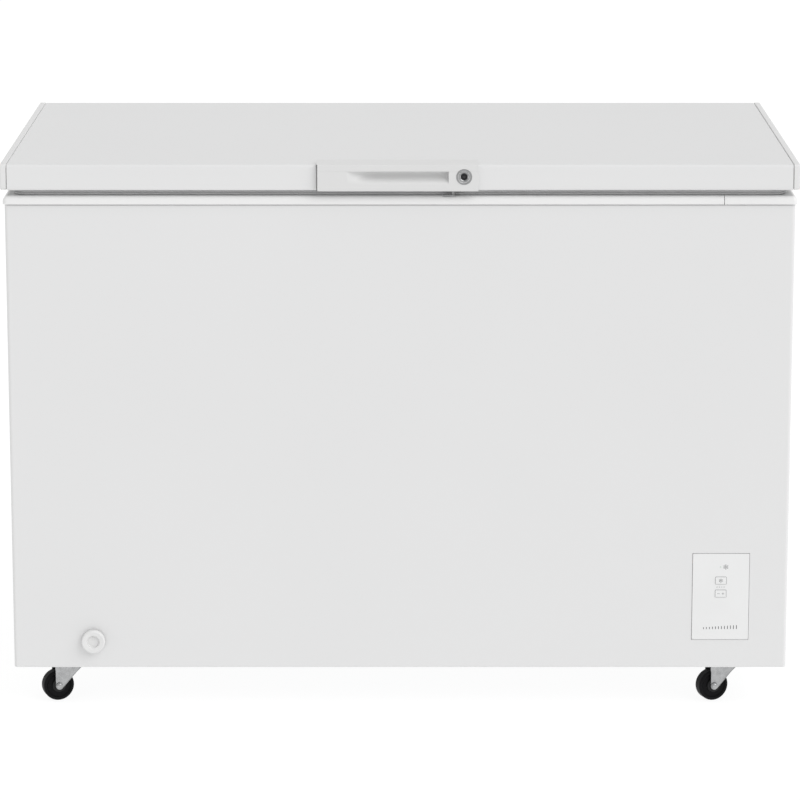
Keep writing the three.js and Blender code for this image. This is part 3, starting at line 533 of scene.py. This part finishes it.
# --------------------------------------------------------------------------------------------------
# Lid tray: vacuum-formed from white sheet, with a raised block that fills the tub's mouth and holds the foam,
# and a sunk panel in the middle of the block that stiffens it.
tray_low, tray_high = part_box("lid_liner")
foam_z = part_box("lid_foam")[0].z
tray_wall = 0.0010
rim_z = tray_low.z + 0.0163  # the flat rim that the gasket is pressed into
block_z = foam_z - 0.0036
panel_z = foam_z - tray_wall - 0.0002
block_side = 0.0815  # from the tray's edge to the block's side
root, shoulder = 0.0045, 0.0026  # rounds at the block's foot and at its edge
tray_rows = [(0, 0.0050, rim_z + tray_wall), (0, 0.0050, rim_z)]
for a in down:
    reach = root * math.sin(a)
    tray_rows.append((block_side - root + reach, 0.036 - reach, rim_z - root * (1 - math.cos(a))))
for a in down:
    reach = shoulder * (1 - math.cos(a))
    tray_rows.append((block_side + reach, 0.031 - reach, block_z + shoulder * (1 - math.sin(a))))
tray_rows += [(block_side + 0.040, 0.026, block_z), (block_side + 0.0415, 0.025, block_z + 0.0004),
              (block_side + 0.0440, 0.023, panel_z - 0.0004), (block_side + 0.0455, 0.022, panel_z)]
tray = stack((tray_low.x, tray_high.x, tray_low.y, tray_high.y), tray_rows)[:, ::-1]
tray_points, tray_faces = lattice(tray, round_u=True)
tray_faces.append(list(range(len(tray_points) - tray.shape[1], len(tray_points))))
make("lid_tray", [(tray_points, tray_faces)], liner_white, "lid", ["lid_liner"], wall=tray_wall,
     sharp=60, closed=False)

# --------------------------------------------------------------------------------------------------
# Handle: one white moulding over the middle of the lid's front edge, with a scooped finger grip, deepest at
# its top, and a lock beside it.
bezel_low, bezel_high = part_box("lid_handle")
face_y = bezel_low.y
plate_back = lid_low.y - 0.0003
scoop_left, scoop_right, scoop_bottom, scoop_top = -0.083, 0.075, 0.8410, 0.8610
scoop_depth = 0.0142
cylinder_low, cylinder_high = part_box("lock_cylinder")
lock_x, lock_z = (cylinder_low.x + cylinder_high.x) / 2, (cylinder_low.z + cylinder_high.z) / 2
well_x, well_z, well_depth = 0.0058, 0.0065, 0.0064  # the handle's square well behind the lock
shut_line, shut_depth, end_lip = 0.0016, 0.0058, 0.0002  # the groove at the handle's left end
scoop_ramp, scoop_end = 0.046, 0.0024  # how gently the grip starts on its left, and on its right
front_path = [  # (y, z, how far the scoop pushes it in, 0 to 1)
    (-0.3280, 0.8703, 0), (-0.3280, 0.8746, 0), (-0.3286, 0.8754, 0), (-0.3300, 0.8756, 0),
    (-0.3440, 0.8736, 0), (-0.3556, 0.8719, 0), (-0.3568, 0.8713, 0), (face_y, 0.8702, 0), (face_y, 0.8640, 0),
    (face_y, scoop_top + 0.0008, 0), (face_y + 0.0003, scoop_top + 0.0002, 0.02), (face_y, scoop_top, 0.10),
    (face_y, scoop_top - 0.0002, 0.60), (face_y, scoop_top - 0.0006, 0.92), (face_y, scoop_top - 0.0022, 1.0),
]
slope = np.linspace(0, 1, 9)[1:]
front_path += [(face_y, scoop_top - 0.0022 - t * (scoop_top - 0.0022 - scoop_bottom - 0.0006),
                0.5 * (1 + math.cos(math.pi * t**1.4))) for t in slope]
front_path += [(face_y, scoop_bottom - 0.0004, 0), (face_y, 0.8360, 0), (face_y, 0.8318, 0),
               (face_y + 0.0006, 0.8308, 0), (face_y + 0.0016, 0.8304, 0), (plate_back, 0.8304, 0)]
front_path = np.array(front_path)
back_path = np.array([(plate_back, 0.8385, 0), (plate_back, 0.8400, 1), (plate_back, 0.8632, 1),
                      (plate_back, 0.8645, 0), (plate_back, 0.8703, 0)])
bezel_path = np.concatenate([front_path, back_path])
shut_x = bezel_low.x + end_lip + shut_line * np.array([0, 0, 1, 1])
bezel_x = np.concatenate([
    [bezel_low.x], shut_x, [bezel_low.x + 0.02], scoop_left + scoop_ramp * np.linspace(0, 1, 14),
    scoop_right - scoop_end * np.linspace(1, 0, 7), [0.0855], lock_x + well_x * np.array([-1, -1, 1, 1]),
    [bezel_high.x],
])
left_ease = np.clip((bezel_x - scoop_left) / scoop_ramp, 0, 1)
right_ease = np.clip((scoop_right - bezel_x) / scoop_end, 0, 1)
side_ease = np.sin(left_ease * math.pi / 2) ** 1.2 * np.sin(right_ease * math.pi / 2) ** 0.5
bezel = np.empty((len(bezel_x), len(bezel_path), 3))
bezel[..., 0] = bezel_x[:, None]
bezel[..., 1] = bezel_path[:, 0] + scoop_depth * side_ease[:, None] * bezel_path[:, 2]
bezel[..., 2] = bezel_path[:, 1]
back_push = scoop_depth + 0.002 - (plate_back - face_y)
bezel[:, len(front_path):, 1] = plate_back + back_push * side_ease[:, None] * back_path[:, 2]
on_face = np.flatnonzero(bezel_path[:, 0] < face_y + 0.0007)
bezel[2:4, on_face, 1] = face_y + shut_depth  # the sections between the shut line's two sides
bezel[1, on_face, 1] = face_y + shut_depth / 3
in_well = on_face[abs(bezel_path[on_face, 1] - lock_z) < well_z]
bezel[-4:-2, in_well, 1] = face_y + well_depth  # and those between the well's
handle_white = finish("handle_white", (0.672, 0.672, 0.670), 0.42, coat=0.08,
                      grain=(1400, 0.03), mottle=(9, 0.006))
make("handle_bezel", [lattice(bezel, round_u=True, ends=True)], handle_white, "lid",
     ["lid_handle"], edge=0.0006, sharp=50)

# --------------------------------------------------------------------------------------------------
# Lock: a plated ring and cylinder whose wide mouth, with a pin in its middle, takes a tubular key; the mouth
# and pin are painted near-black as painted shade. The cam behind it and the keeper on the collar are stamped
# steel, painted a dull dark grey as painted shade so that they sink into the shaded gap under the lid.
lock_steel = finish("lock_steel", (0.33, 0.333, 0.336), 0.30, metal=1.0,
                    grain=(1600, 0.02), mottle=(200, 0.06))
# The keyway's inside and its pin are painted near-black: painted shade for the dark inside of the key mouth.
keyway_painted_shade = finish("keyway_painted_shade", (0.035, 0.035, 0.037), 0.45, metal=0.4, grain=(900, 0.02), mottle=(200, 0.1))


def turned(profile, centre, axis, sides=72):
    """A profile of (radius, place along the axis) points turned about that axis through the centre, a full
    circle."""
    radius, along = np.array(profile, float).T
    angle = np.linspace(0, math.tau, sides + 1)[:-1]
    flat = [i for i in range(3) if i != axis]
    points = np.empty((len(radius), sides, 3))
    points[..., flat[0]] = centre[flat[0]] + radius[:, None] * np.cos(angle)
    points[..., flat[1]] = centre[flat[1]] + radius[:, None] * np.sin(angle)
    points[..., axis] = along[:, None]
    return points


ring_low, ring_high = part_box("lock_escutcheon")
lock_centre = ((ring_low.x + ring_high.x) / 2, 0, (ring_low.z + ring_high.z) / 2)
ring_out = (ring_high.x - ring_low.x) / 2
ring_y = ring_low.y
ring_profile = [(ring_out, plate_back), (ring_out, ring_y + 0.0009), (ring_out - 0.0004, ring_y + 0.0003),
                (ring_out - 0.0014, ring_y), (ring_out - 0.0024, ring_y + 0.0003),
                (ring_out - 0.0028, ring_y + 0.0006), (0.0092, ring_y + 0.0006), (0.0091, plate_back)]
make("lock_ring", [lattice(turned(ring_profile, lock_centre, 1), round_u=True, round_v=True)], lock_steel,
     "lid", ["lock_escutcheon"])
barrel_y, barrel_r = ring_y + 0.0007, cylinder_high.x - lock_x
barrel = [(0, cylinder_high.y), (barrel_r, cylinder_high.y), (barrel_r, barrel_y + 0.0004),
          (barrel_r - 0.0004, barrel_y), (0.0067, barrel_y), (0.0064, barrel_y + 0.0002),
          (0.0052, barrel_y + 0.0013), (0.0050, barrel_y + 0.0048), (0, barrel_y + 0.0048)]
make("lock_plug", [lattice(turned(barrel, lock_centre, 1), round_u=True)], lock_steel, "lock",
     ["lock_cylinder"])
keyway = [(0, 0.0046), (0.0049, 0.0046), (0.0049, 0.0012), (0.0046, 0.0012), (0.0044, 0.0042),
          (0.0020, 0.0042), (0.0018, 0.0016), (0, 0.0014)]
keyway = [(radius, barrel_y + depth) for radius, depth in keyway]
make("lock_keyway", [lattice(turned(keyway, lock_centre, 1, 36), round_u=True)], keyway_painted_shade, "lock")
# The cam and keeper are painted a dull dark grey: painted shade that lets them sink into the shaded gap under
# the lid.
gap_shade_zinc = finish("gap_shade_zinc", (0.30, 0.303, 0.306), 0.5, metal=0.4, grain=(500, 0.03), mottle=(60, 0.1))
refinish(gap_shade_zinc, "lock_cam", "lock_keeper")

# --------------------------------------------------------------------------------------------------
# Hinges: pressed brackets screwed to the cabinet's back and leaves screwed to the lid, all zinc-plated, each
# pair with a coiled torsion spring wound round its pin.


def tube(path, up, radius, sides=8):
    """A round section carried along a path. Its first side vector is the tangent crossed with up, and its
    second the first crossed with the tangent; both are worked out for all points at once."""
    path = np.asarray(path, float)
    tangent = np.gradient(path, axis=0)
    tangent /= np.linalg.norm(tangent, axis=1, keepdims=True)
    first = np.cross(tangent, np.broadcast_to(up, path.shape))
    first /= np.linalg.norm(first, axis=1, keepdims=True)
    second = np.cross(first, tangent)
    angle = np.linspace(0, math.tau, sides + 1)[:-1, None]
    ring = np.cos(angle) * first[:, None] + np.sin(angle) * second[:, None]
    return path[:, None] + radius * ring


joints = {joint["name"]: joint for joint in frame["joints"]}
pin_y, pin_z = joints["lid_hinge"]["pos_m"][1:]
coils, coil_r, spring_wire = 9, 0.0042, 0.0009
winding = np.linspace(0, math.tau * coils, coils * 20)
for side in ("left", "right"):
    refinish(zinc_steel, f"hinge_bracket_{side}", f"hinge_leaf_{side}")
    spring_low, spring_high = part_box(f"hinge_spring_{side}")
    helix = np.c_[np.linspace(spring_low.x + spring_wire, spring_high.x - spring_wire, len(winding)),
                  pin_y + coil_r * np.cos(winding), pin_z + coil_r * np.sin(winding)]
    make(f"hinge_coil_{side}", [lattice(tube(helix, (1.0, 0, 0), spring_wire), round_u=True, ends=True)],
         zinc_steel, "cabinet", [f"hinge_spring_{side}"])
    leaf_low, leaf_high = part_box(f"hinge_leaf_{side}")
    bracket_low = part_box(f"hinge_bracket_{side}")[0]
    hinge_x = (leaf_low.x + leaf_high.x) / 2
    leaf_screws = [(hinge_x + dx, leaf_low.y + 0.0023, leaf_high.z - 0.008) for dx in (-0.010, 0.010)]
    make(f"leaf_screws_{side}", screw_heads(leaf_screws, (1, 1)), zinc_steel, "lid")
    bracket_screws = [(hinge_x + dx, bracket_low.y + 0.0025, bracket_low.z + dz)
                      for dx in (-0.013, 0.013) for dz in (0.010, 0.036)]
    make(f"bracket_screws_{side}", screw_heads(bracket_screws, (1, 1)), zinc_steel, "cabinet")

# --------------------------------------------------------------------------------------------------
# Control panel: a glossy white plate set into the sheet with a fine shut line, two push buttons, a snowflake
# mark, a small lamp and a level scale printed in grey.
panel_gloss = finish("panel_gloss", (0.76, 0.762, 0.762), 0.16, coat=0.6,
                     grain=(120, 0.004), mottle=(14, 0.012))
print_grey = finish("print_grey", (0.09, 0.092, 0.095), 0.5, grain=(900, 0.01), mottle=(60, 0.05))
lamp_lens = finish("lamp_lens", (0.62, 0.70, 0.64), 0.25, coat=0.5, grain=(500, 0.01), mottle=(60, 0.05))
plate_box = (panel_low.x, panel_high.x, panel_low.z, panel_high.z)
panel_face, ink_rise = panel_low.y, 0.00004
buttons = {name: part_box(name) for name in ("mode_button", "temp_button")}
plate_rows = [(0, 0.0015, panel_high.y), (0, 0.0015, panel_face + 0.0005),
              (0.0002, 0.0014, panel_face + 0.00015), (0.0006, 0.0012, panel_face)]
plate = stack(plate_box, plate_rows, axes=(0, 2, 1), steps=4)
make("panel_plate", [lattice(plate, round_u=True, ends=True)], panel_gloss, "cabinet",
     ["control_panel_bezel"])
for name, (low, high) in buttons.items():
    rows = [(0, 0.0012, panel_face + 0.0012), (0, 0.0012, low.y + 0.0004), (0.0001, 0.0011, low.y + 0.0001),
            (0.0004, 0.0010, low.y)]
    button = stack((low.x, high.x, low.z, high.z), rows, axes=(0, 2, 1), steps=4)
    make(f"{name}_cap", [lattice(button, round_u=True, ends=True)], panel_gloss, name, [name])
    rows = [(-0.0005, 0.0015, panel_face - ink_rise), (-0.0001, 0.0012, panel_face - ink_rise)]
    line = stack((low.x, high.x, low.z, high.z), rows, axes=(0, 2, 1), steps=4)
    make(f"{name}_outline", [lattice(line, round_u=True)], print_grey, "cabinet", wall=0.00003,
         closed=False)


def strokes(lines, width, face, name, body="cabinet"):
    """Printed strokes: each line, given by its two ends in x and z, is a thin flat bar with round ends."""
    bars = []
    for (x0, z0), (x1, z1) in lines:
        length = math.hypot(x1 - x0, z1 - z0)
        flat = outline(-width / 2, length + width / 2, -width / 2, width / 2, width * 0.49, steps=4)
        cos, sin = (x1 - x0) / length, (z1 - z0) / length
        flat = flat @ np.array([[cos, sin], [-sin, cos]]) + (x0, z0)
        bars.append(bar(flat, (face + 0.00005, face - 0.00006), (0, 2, 1)))
    make(name, bars, print_grey, body)


def snowflake(x, z, size):
    """Six arms at sixty degrees, each with two short side branches."""
    lines = []
    for a in np.radians(np.arange(30, 390, 60)):
        tip = (x + size * math.cos(a), z + size * math.sin(a))
        root_x, root_z = x + 0.6 * size * math.cos(a), z + 0.6 * size * math.sin(a)
        lines.append(((x, z), tip))
        for b in (a - math.radians(55), a + math.radians(55)):
            twig = (root_x + 0.3 * size * math.cos(b), root_z + 0.3 * size * math.sin(b))
            lines.append(((root_x, root_z), twig))
    return lines


mode_low, mode_high = buttons["mode_button"]
temp_low, temp_high = buttons["temp_button"]
panel_x = (panel_low.x + panel_high.x) / 2
mode_z, temp_z = (mode_low.z + mode_high.z) / 2, (temp_low.z + temp_high.z) / 2
mark_z, tick_z, tick_width = mode_high.z + 0.0163, (mode_low.z + temp_high.z) / 2, 0.0016
tick_x = np.linspace(mode_low.x + 0.0019, mode_high.x - 0.0041, 4)
bar_count, bar_z, bar_short, bar_grow = 12, panel_low.z + 0.0175, 0.0020, 0.0035
bar_x = np.linspace(panel_low.x + 0.0185, panel_high.x - 0.0186, bar_count)
sign_near, sign_far, sign_half = 0.0018, 0.0052, 0.0017  # the minus and plus, from the button's middle
plus_x = panel_x + (sign_near + sign_far) / 2
strokes(snowflake(mode_high.x - 0.0011, mark_z, 0.0042), 0.00045, panel_face, "panel_snowflake")
strokes(snowflake(panel_x, mode_z, 0.0032), 0.0004, mode_low.y, "mode_mark", "mode_button")
strokes([((panel_x - sign_far, temp_z), (panel_x - sign_near, temp_z)),
         ((panel_x + sign_near, temp_z), (panel_x + sign_far, temp_z)),
         ((plus_x, temp_z - sign_half), (plus_x, temp_z + sign_half))],
        0.0005, temp_low.y, "temp_mark", "temp_button")
strokes([((x, tick_z), (x + tick_width, tick_z)) for x in tick_x], 0.0006, panel_face, "panel_ticks")
strokes([((x, bar_z), (x, bar_z + bar_short + bar_grow * i / (bar_count - 1))) for i, x in enumerate(bar_x)],
        0.0011, panel_face, "level_scale")
lens = [(0, panel_face + 0.0002), (0.0013, panel_face + 0.0002), (0.0013, panel_face - 0.0001),
        (0.0009, panel_face - 0.00035), (0, panel_face - 0.0004)]
make("panel_lamp", [lattice(turned(lens, (mode_low.x + 0.0079, 0, mark_z), 1, 24), round_u=True)], lamp_lens,
     "cabinet")

# --------------------------------------------------------------------------------------------------
# Drain: a white moulded knob with a raised rim and a sunk middle, on a spout that pulls out of a flanged
# sleeve. A grey stopper closes the drain mouth in the tub's floor.
knob_low, knob_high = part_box("drain_cap")
knob_centre = ((knob_low.x + knob_high.x) / 2, 0, (knob_low.z + knob_high.z) / 2)
knob_r, knob_round = (knob_high.x - knob_low.x) / 2, 0.0026
knob_y, knob_back = knob_low.y, knob_high.y
knob = [(0, knob_back - 0.002), (0.0158, knob_back - 0.002), (0.0160, knob_back), (knob_r - 0.0006, knob_back),
        (knob_r, knob_back - 0.0006)]
knob += [(knob_r - knob_round * (1 - math.cos(a)), knob_y + knob_round * (1 - math.sin(a)))
         for a in np.radians(np.linspace(0, 90, 8))]
knob += [(0.0110, knob_y + 0.0006), (0.0100, knob_y + 0.0010), (0.0096, knob_y + 0.0018),
         (0.0093, knob_y + 0.0042), (0.0086, knob_y + 0.0048), (0, knob_y + 0.0048)]
make("drain_knob", [lattice(turned(knob, knob_centre, 1, 96), round_u=True)], white_plastic, "drain_cap",
     ["drain_cap"], sharp=40)
pointer = outline(-0.0012, 0.0012, 0.0030, 0.0080, 0.0010, steps=4) + (knob_centre[0], knob_centre[2])
make("drain_pointer", [bar(pointer, (knob_y + 0.0050, knob_y + 0.0040), (0, 2, 1))], white_plastic,
     "drain_cap", edge=0.0003)
refinish(white_plastic, "drain_housing", "drain_spout", "drain_tube")
grey_plastic = finish("grey_plastic", (0.45, 0.455, 0.46), 0.5, grain=(900, 0.04), mottle=(20, 0.04))
stopper = [(0, 0), (0.0085, 0), (0.0092, 0.001), (0.0094, 0.0042), (0.0156, 0.0043), (0.0160, 0.0048),
           (0.0158, 0.0064), (0.0150, 0.0070), (0.0060, 0.0078), (0.0050, 0.0086), (0.0048, 0.0140),
           (0.0040, 0.0149), (0, 0.0150)]
stopper = [(radius, plug_low.z + height) for radius, height in stopper]
make("drain_stopper", [lattice(turned(stopper, plug_centre, 2, 48), round_u=True)], grey_plastic, "drain_plug",
     ["drain_plug"])

# --------------------------------------------------------------------------------------------------
# Basket: white plastic-coated wire, welded in a fine grid, with a thicker rim that rests on the collar's
# ledges front and rear.
coated_wire = finish("coated_wire", (0.80, 0.81, 0.82), 0.32, coat=0.3, grain=(500, 0.02), mottle=(40, 0.01))
basket_low, basket_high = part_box("basket")
thin, thick = 0.0012, 0.0022  # radii of the grid's wire and of the rim's
hanger_reach, hanger_in, first_wire, wire_bend = 0.0195, 0.03, 0.02, 0.012
x0, x1 = basket_low.x + thick, basket_high.x - thick
y0, y1 = basket_low.y + hanger_reach, basket_high.y - hanger_reach
z0, z1 = basket_low.z + thin, basket_high.z - thick
wires = []


def add_wire(path, up, radius):
    """A round wire along a path, with closed ends, put with the basket's other wires."""
    wires.append(lattice(tube(path, up, radius), round_u=True, ends=True))


def bent(corners, radius, steps=5):
    """A path through corner points with each inner corner rounded by a quarter turn eased between its two
    sides."""
    corners = np.asarray(corners, float)
    pieces = [corners[:1]]
    t = np.linspace(0, 1, steps + 1)[:, None]
    for before, corner, after in zip(corners[:-2], corners[1:-1], corners[2:]):
        start = corner + radius * (before - corner) / np.linalg.norm(before - corner)
        end = corner + radius * (after - corner) / np.linalg.norm(after - corner)
        pieces.append((1 - t) ** 2 * start + 2 * t * (1 - t) * corner + t**2 * end)
    pieces.append(corners[-1:])
    return np.concatenate(pieces)


for x in np.linspace(x0 + first_wire, x1 - first_wire, 10):
    add_wire(bent([(x, y0, z1), (x, y0, z0), (x, y1, z0), (x, y1, z1)], wire_bend), (1.0, 0, 0), thin)
for y in np.linspace(y0 + first_wire, y1 - first_wire, 19):
    corners = [(x0, y, z1), (x0, y, z0 + thin), (x1, y, z0 + thin), (x1, y, z1)]
    add_wire(bent(corners, wire_bend), (0, 1.0, 0), thin)
hoop = outline(x0 - thin, x1 + thin, y0 - thin, y1 + thin, 0.014, steps=6)
hoop = np.vstack([hoop, hoop[:1]])
for z, radius in ((z0 + 0.055, thin), (z0 + 0.110, thin), (z0 + 0.165, thin), (z1, thick)):
    add_wire(np.c_[hoop, np.full(len(hoop), z)], (0, 0, 1.0), radius)
rail_y = (basket_low.y + thick, basket_high.y - thick)
for x in (x0 + hanger_in, x1 - hanger_in):
    for rim_y, outer_y in zip((y0, y1), rail_y):
        add_wire([(x, rim_y, z1), (x, outer_y, z1)], (1.0, 0, 0), thick)
for y in rail_y:
    add_wire([(x0 + hanger_in - thick, y, z1), (x1 - hanger_in + thick, y, z1)], (0, 1.0, 0), thick)
make("wire_basket", wires, coated_wire, "basket", ["basket"], sharp=80)

# --------------------------------------------------------------------------------------------------
# Casters: a hard black wheel with a recessed web and a black hub, in a bright zinc fork with an eccentric
# rake, a domed axle bolt, and a square top plate with a ball race.
black_rubber = finish("black_rubber", (0.0055, 0.0055, 0.006), 0.5, specular=0.10,
                      grain=(500, 0.05), mottle=(60, 0.2))
hub_black = finish("hub_black", (0.012, 0.012, 0.0125), 0.38, specular=0.2,
                   grain=(700, 0.04), mottle=(80, 0.1))
bright_zinc = finish("bright_zinc", (0.42, 0.424, 0.428), 0.27, metal=1.0,
                     grain=(600, 0.03), mottle=(140, 0.12))
yaw = math.radians(20)
heading = np.array([[math.cos(yaw), math.sin(yaw), 0], [-math.sin(yaw), math.cos(yaw), 0], [0, 0, 1]])
wheel_half, trail, tread_round = 0.009, 0.026, 0.0028
wheel_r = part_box("caster_wheel_front_left")[1].z / 2
axle_z = joints["wheel_front_left"]["pos_m"][2]
hub = (-trail, 0, axle_z)  # pieces are made about a swivel axis at the origin
leg_inner, leg_thick = 0.0103, 0.0020
leg_outer = leg_inner + leg_thick


def mirrored(profile):
    """A turned profile and its mirror image across the wheel's middle plane, as two lists."""
    return [[(radius, side * along) for radius, along in profile] for side in (-1, 1)]


def stand(parts, place):
    """Turns parts made about a swivel axis at the origin to the wheel's heading, and moves them to their
    place."""
    return [(points @ heading + place, faces) for points, faces in parts]


half_wheel = [(0.0036, wheel_half), (0.0074, wheel_half), (0.0080, 0.0086), (0.0084, 0.0066), (0.0176, 0.0062),
              (0.0188, 0.0066), (0.0196, 0.0082), (0.0204, 0.0089)]
half_wheel += [(wheel_r - tread_round * (1 - math.sin(a)), wheel_half - tread_round * (1 - math.cos(a)))
               for a in np.radians(np.linspace(0, 90, 6))]
near_half, far_half = mirrored(half_wheel)
wheel = [lattice(turned(near_half + far_half[::-1], hub, 1, 64), round_u=True, round_v=True)]
hub_ring = [(0.0042, 0.0088), (0.0042, 0.0094), (0.0100, 0.0094), (0.0108, 0.0090), (0.0108, 0.0064),
            (0.0042, 0.0064)]
hubs = [lattice(turned(ring, hub, 1, 48), round_u=True, round_v=True) for ring in mirrored(hub_ring)]
boss_r, pressing_reach = 0.0064, (0.84, 0.86)
boss = np.linspace(math.pi, math.pi * 1.78, 10)
leg_path = np.concatenate([
    [(-0.0310, 0.0588), (-0.0324, 0.0574), (-0.0324, 0.0480), (-0.0324, 0.0250)],
    np.c_[-trail + boss_r * np.cos(boss), axle_z + boss_r * np.sin(boss)],
    [(0.0030, 0.0460), (0.0150, 0.0565), (0.0155, 0.0585)],
])
leg_middle = np.array([-trail + 0.006, 0.038])
pressing = leg_middle + (leg_path - leg_middle) * pressing_reach  # the sunk middle of a leg's outer face
leg = np.empty((4, len(leg_path), 3))
leg[..., 0::2] = np.stack([leg_path, leg_path, pressing * 0.15 + leg_path * 0.85, pressing])
leg[..., 1] = leg_inner + np.array([0, leg_thick, leg_thick + 0.0002, leg_thick - 0.0008])[:, None]
crown = [(0, 0.0560), (0.0150, 0.0560), (0.0160, 0.0570), (0.0160, 0.0582), (0.0145, 0.0592), (0.0060, 0.0592),
         (0.0060, 0.0660), (0, 0.0660)]
bridge = stack((-0.0150, 0.0140, -leg_outer, leg_outer), [(0, 0.001, 0.0562), (0, 0.001, 0.0588)], steps=3)
fork = [lattice(leg * (1, side, 1), round_u=True, ends=True) for side in (-1, 1)]
fork += [lattice(turned(crown, (0, 0, 0), 2, 40), round_u=True), lattice(bridge, round_u=True, ends=True)]
bolt_r, bolt_half = 0.0029, 0.0098
bolt = [(0, -bolt_half), (bolt_r, -bolt_half), (bolt_r, bolt_half), (0, bolt_half)]
bolt_end = [(0, 0.0095), (bolt_r, 0.0095), (bolt_r, leg_outer), (0, leg_outer)]
dome = [(0, 0), (0.0056, 0), (0.0056, 0.0006), (0.0048, 0.0008), (0.0046, 0.0020), (0.0036, 0.0028),
        (0.0018, 0.0032), (0, 0.0033)]
dome = [(radius, leg_outer + height) for radius, height in dome]
axle = [lattice(turned(bolt, hub, 1, 24), round_u=True)]
for side_dome, side_end in zip(mirrored(dome), mirrored(bolt_end)):
    axle.append(lattice(turned(side_dome, hub, 1, 32), round_u=True))
    axle.append(lattice(turned(side_end, hub, 1, 24), round_u=True))
bolt_side = 0.022  # from the swivel axis to the plate's bolts
for name in ("front_left", "front_right", "rear_left", "rear_right"):
    swivel = np.array([*joints[f"swivel_{name}"]["pos_m"][:2], 0.0])
    wheel_body, fork_body = f"caster_wheel_{name}", f"caster_fork_{name}"
    make(f"wheel_{name}", stand(wheel, swivel), black_rubber, wheel_body, [wheel_body],
         sharp=50)
    make(f"wheel_hub_{name}", stand(hubs, swivel), hub_black, wheel_body)
    make(f"fork_{name}", stand(fork, swivel), bright_zinc, fork_body, [fork_body], edge=0.0004,
         sharp=50)
    make(f"axle_{name}", stand(axle, swivel), bright_zinc, fork_body, sharp=40)
    plate_low, plate_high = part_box(f"caster_plate_{name}")
    plate_rows = [(0.0004, 0.0046, plate_high.z - 0.0025), (0, 0.005, plate_high.z - 0.0021),
                  (0, 0.005, plate_high.z)]
    top = stack((plate_low.x, plate_high.x, plate_low.y, plate_high.y), plate_rows, steps=5)
    race = turned([(0.0066, plate_high.z - 0.0020), (0.0066, plate_low.z), (0.0140, plate_low.z),
                   (0.0150, plate_low.z + 0.0007), (0.0158, plate_high.z - 0.0020)], swivel, 2, 40)
    plate_parts = [lattice(top, round_u=True, ends=True), lattice(race, round_u=True, round_v=True)]
    make(f"caster_top_{name}", plate_parts, bright_zinc, "cabinet", [f"caster_plate_{name}"])
    bolts = [(swivel[0] + dx, swivel[1] + dy, plate_high.z - 0.0025)
             for dx in (-bolt_side, bolt_side) for dy in (-bolt_side, bolt_side)]
    make(f"caster_bolts_{name}", screw_heads(bolts, (2, -1), 0.0048, 0.0024), bright_zinc, "cabinet")

# --------------------------------------------------------------------------------------------------
# What is inside: rigid foam blown into the cabinet and lid, brazed copper tube, the compressor's welded and
# painted steel shell on rubber mounts and its tray, its relay, and the control board.
foam = finish("foam", (0.80, 0.73, 0.52), 0.95, grain=(300, 0.4), mottle=(40, 0.08))
copper = finish("copper", (0.72, 0.36, 0.22), 0.32, metal=1.0, grain=(500, 0.02), mottle=(30, 0.12))
black_paint = finish("black_paint", (0.016, 0.016, 0.018), 0.38, coat=0.3,
                     grain=(500, 0.03), mottle=(20, 0.1))
black_plastic = finish("black_plastic", (0.022, 0.022, 0.024), 0.5, grain=(900, 0.05), mottle=(30, 0.1))
circuit_board = finish("circuit_board", (0.03, 0.16, 0.06), 0.4, coat=0.3,
                       grain=(900, 0.02), mottle=(300, 0.2))
refinish(foam, "cabinet_foam", "lid_foam")
refinish(copper, "evaporator_tube", "condenser_tube", "filter_drier", "discharge_pipe", "suction_pipe")
refinish(black_plastic, "start_relay_box", "power_cord_gland")
refinish(black_rubber, "compressor_mount")
refinish(circuit_board, "control_board")
refinish(grey_plastic, "temperature_sensor")
shell_low, shell_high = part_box("compressor_shell")
shell_centre = ((shell_low.x + shell_high.x) / 2, (shell_low.y + shell_high.y) / 2, 0)
seam_r, foot_side = 0.0719, 0.012  # the welded seam's radius, and the foot plate's inset and corner
shell_profile = [(0, 0.0920), (0.052, 0.0920), (0.066, 0.0990), (0.0715, 0.112), (seam_r, 0.150),
                 (seam_r, 0.1508), (seam_r, 0.1548), (0.0715, 0.1556), (0.0705, 0.190), (0.064, 0.210),
                 (0.050, 0.223), (0.028, 0.230), (0, 0.2318)]
feet = stack((shell_low.x, shell_high.x, shell_low.y + foot_side, shell_high.y - foot_side),
             [(0, foot_side, shell_low.z), (0, foot_side, 0.0925)])
make("compressor", [lattice(turned(shell_profile, shell_centre, 2, 72), round_u=True),
                    lattice(feet, round_u=True, ends=True)], black_paint, "cabinet",
     ["compressor_shell"])
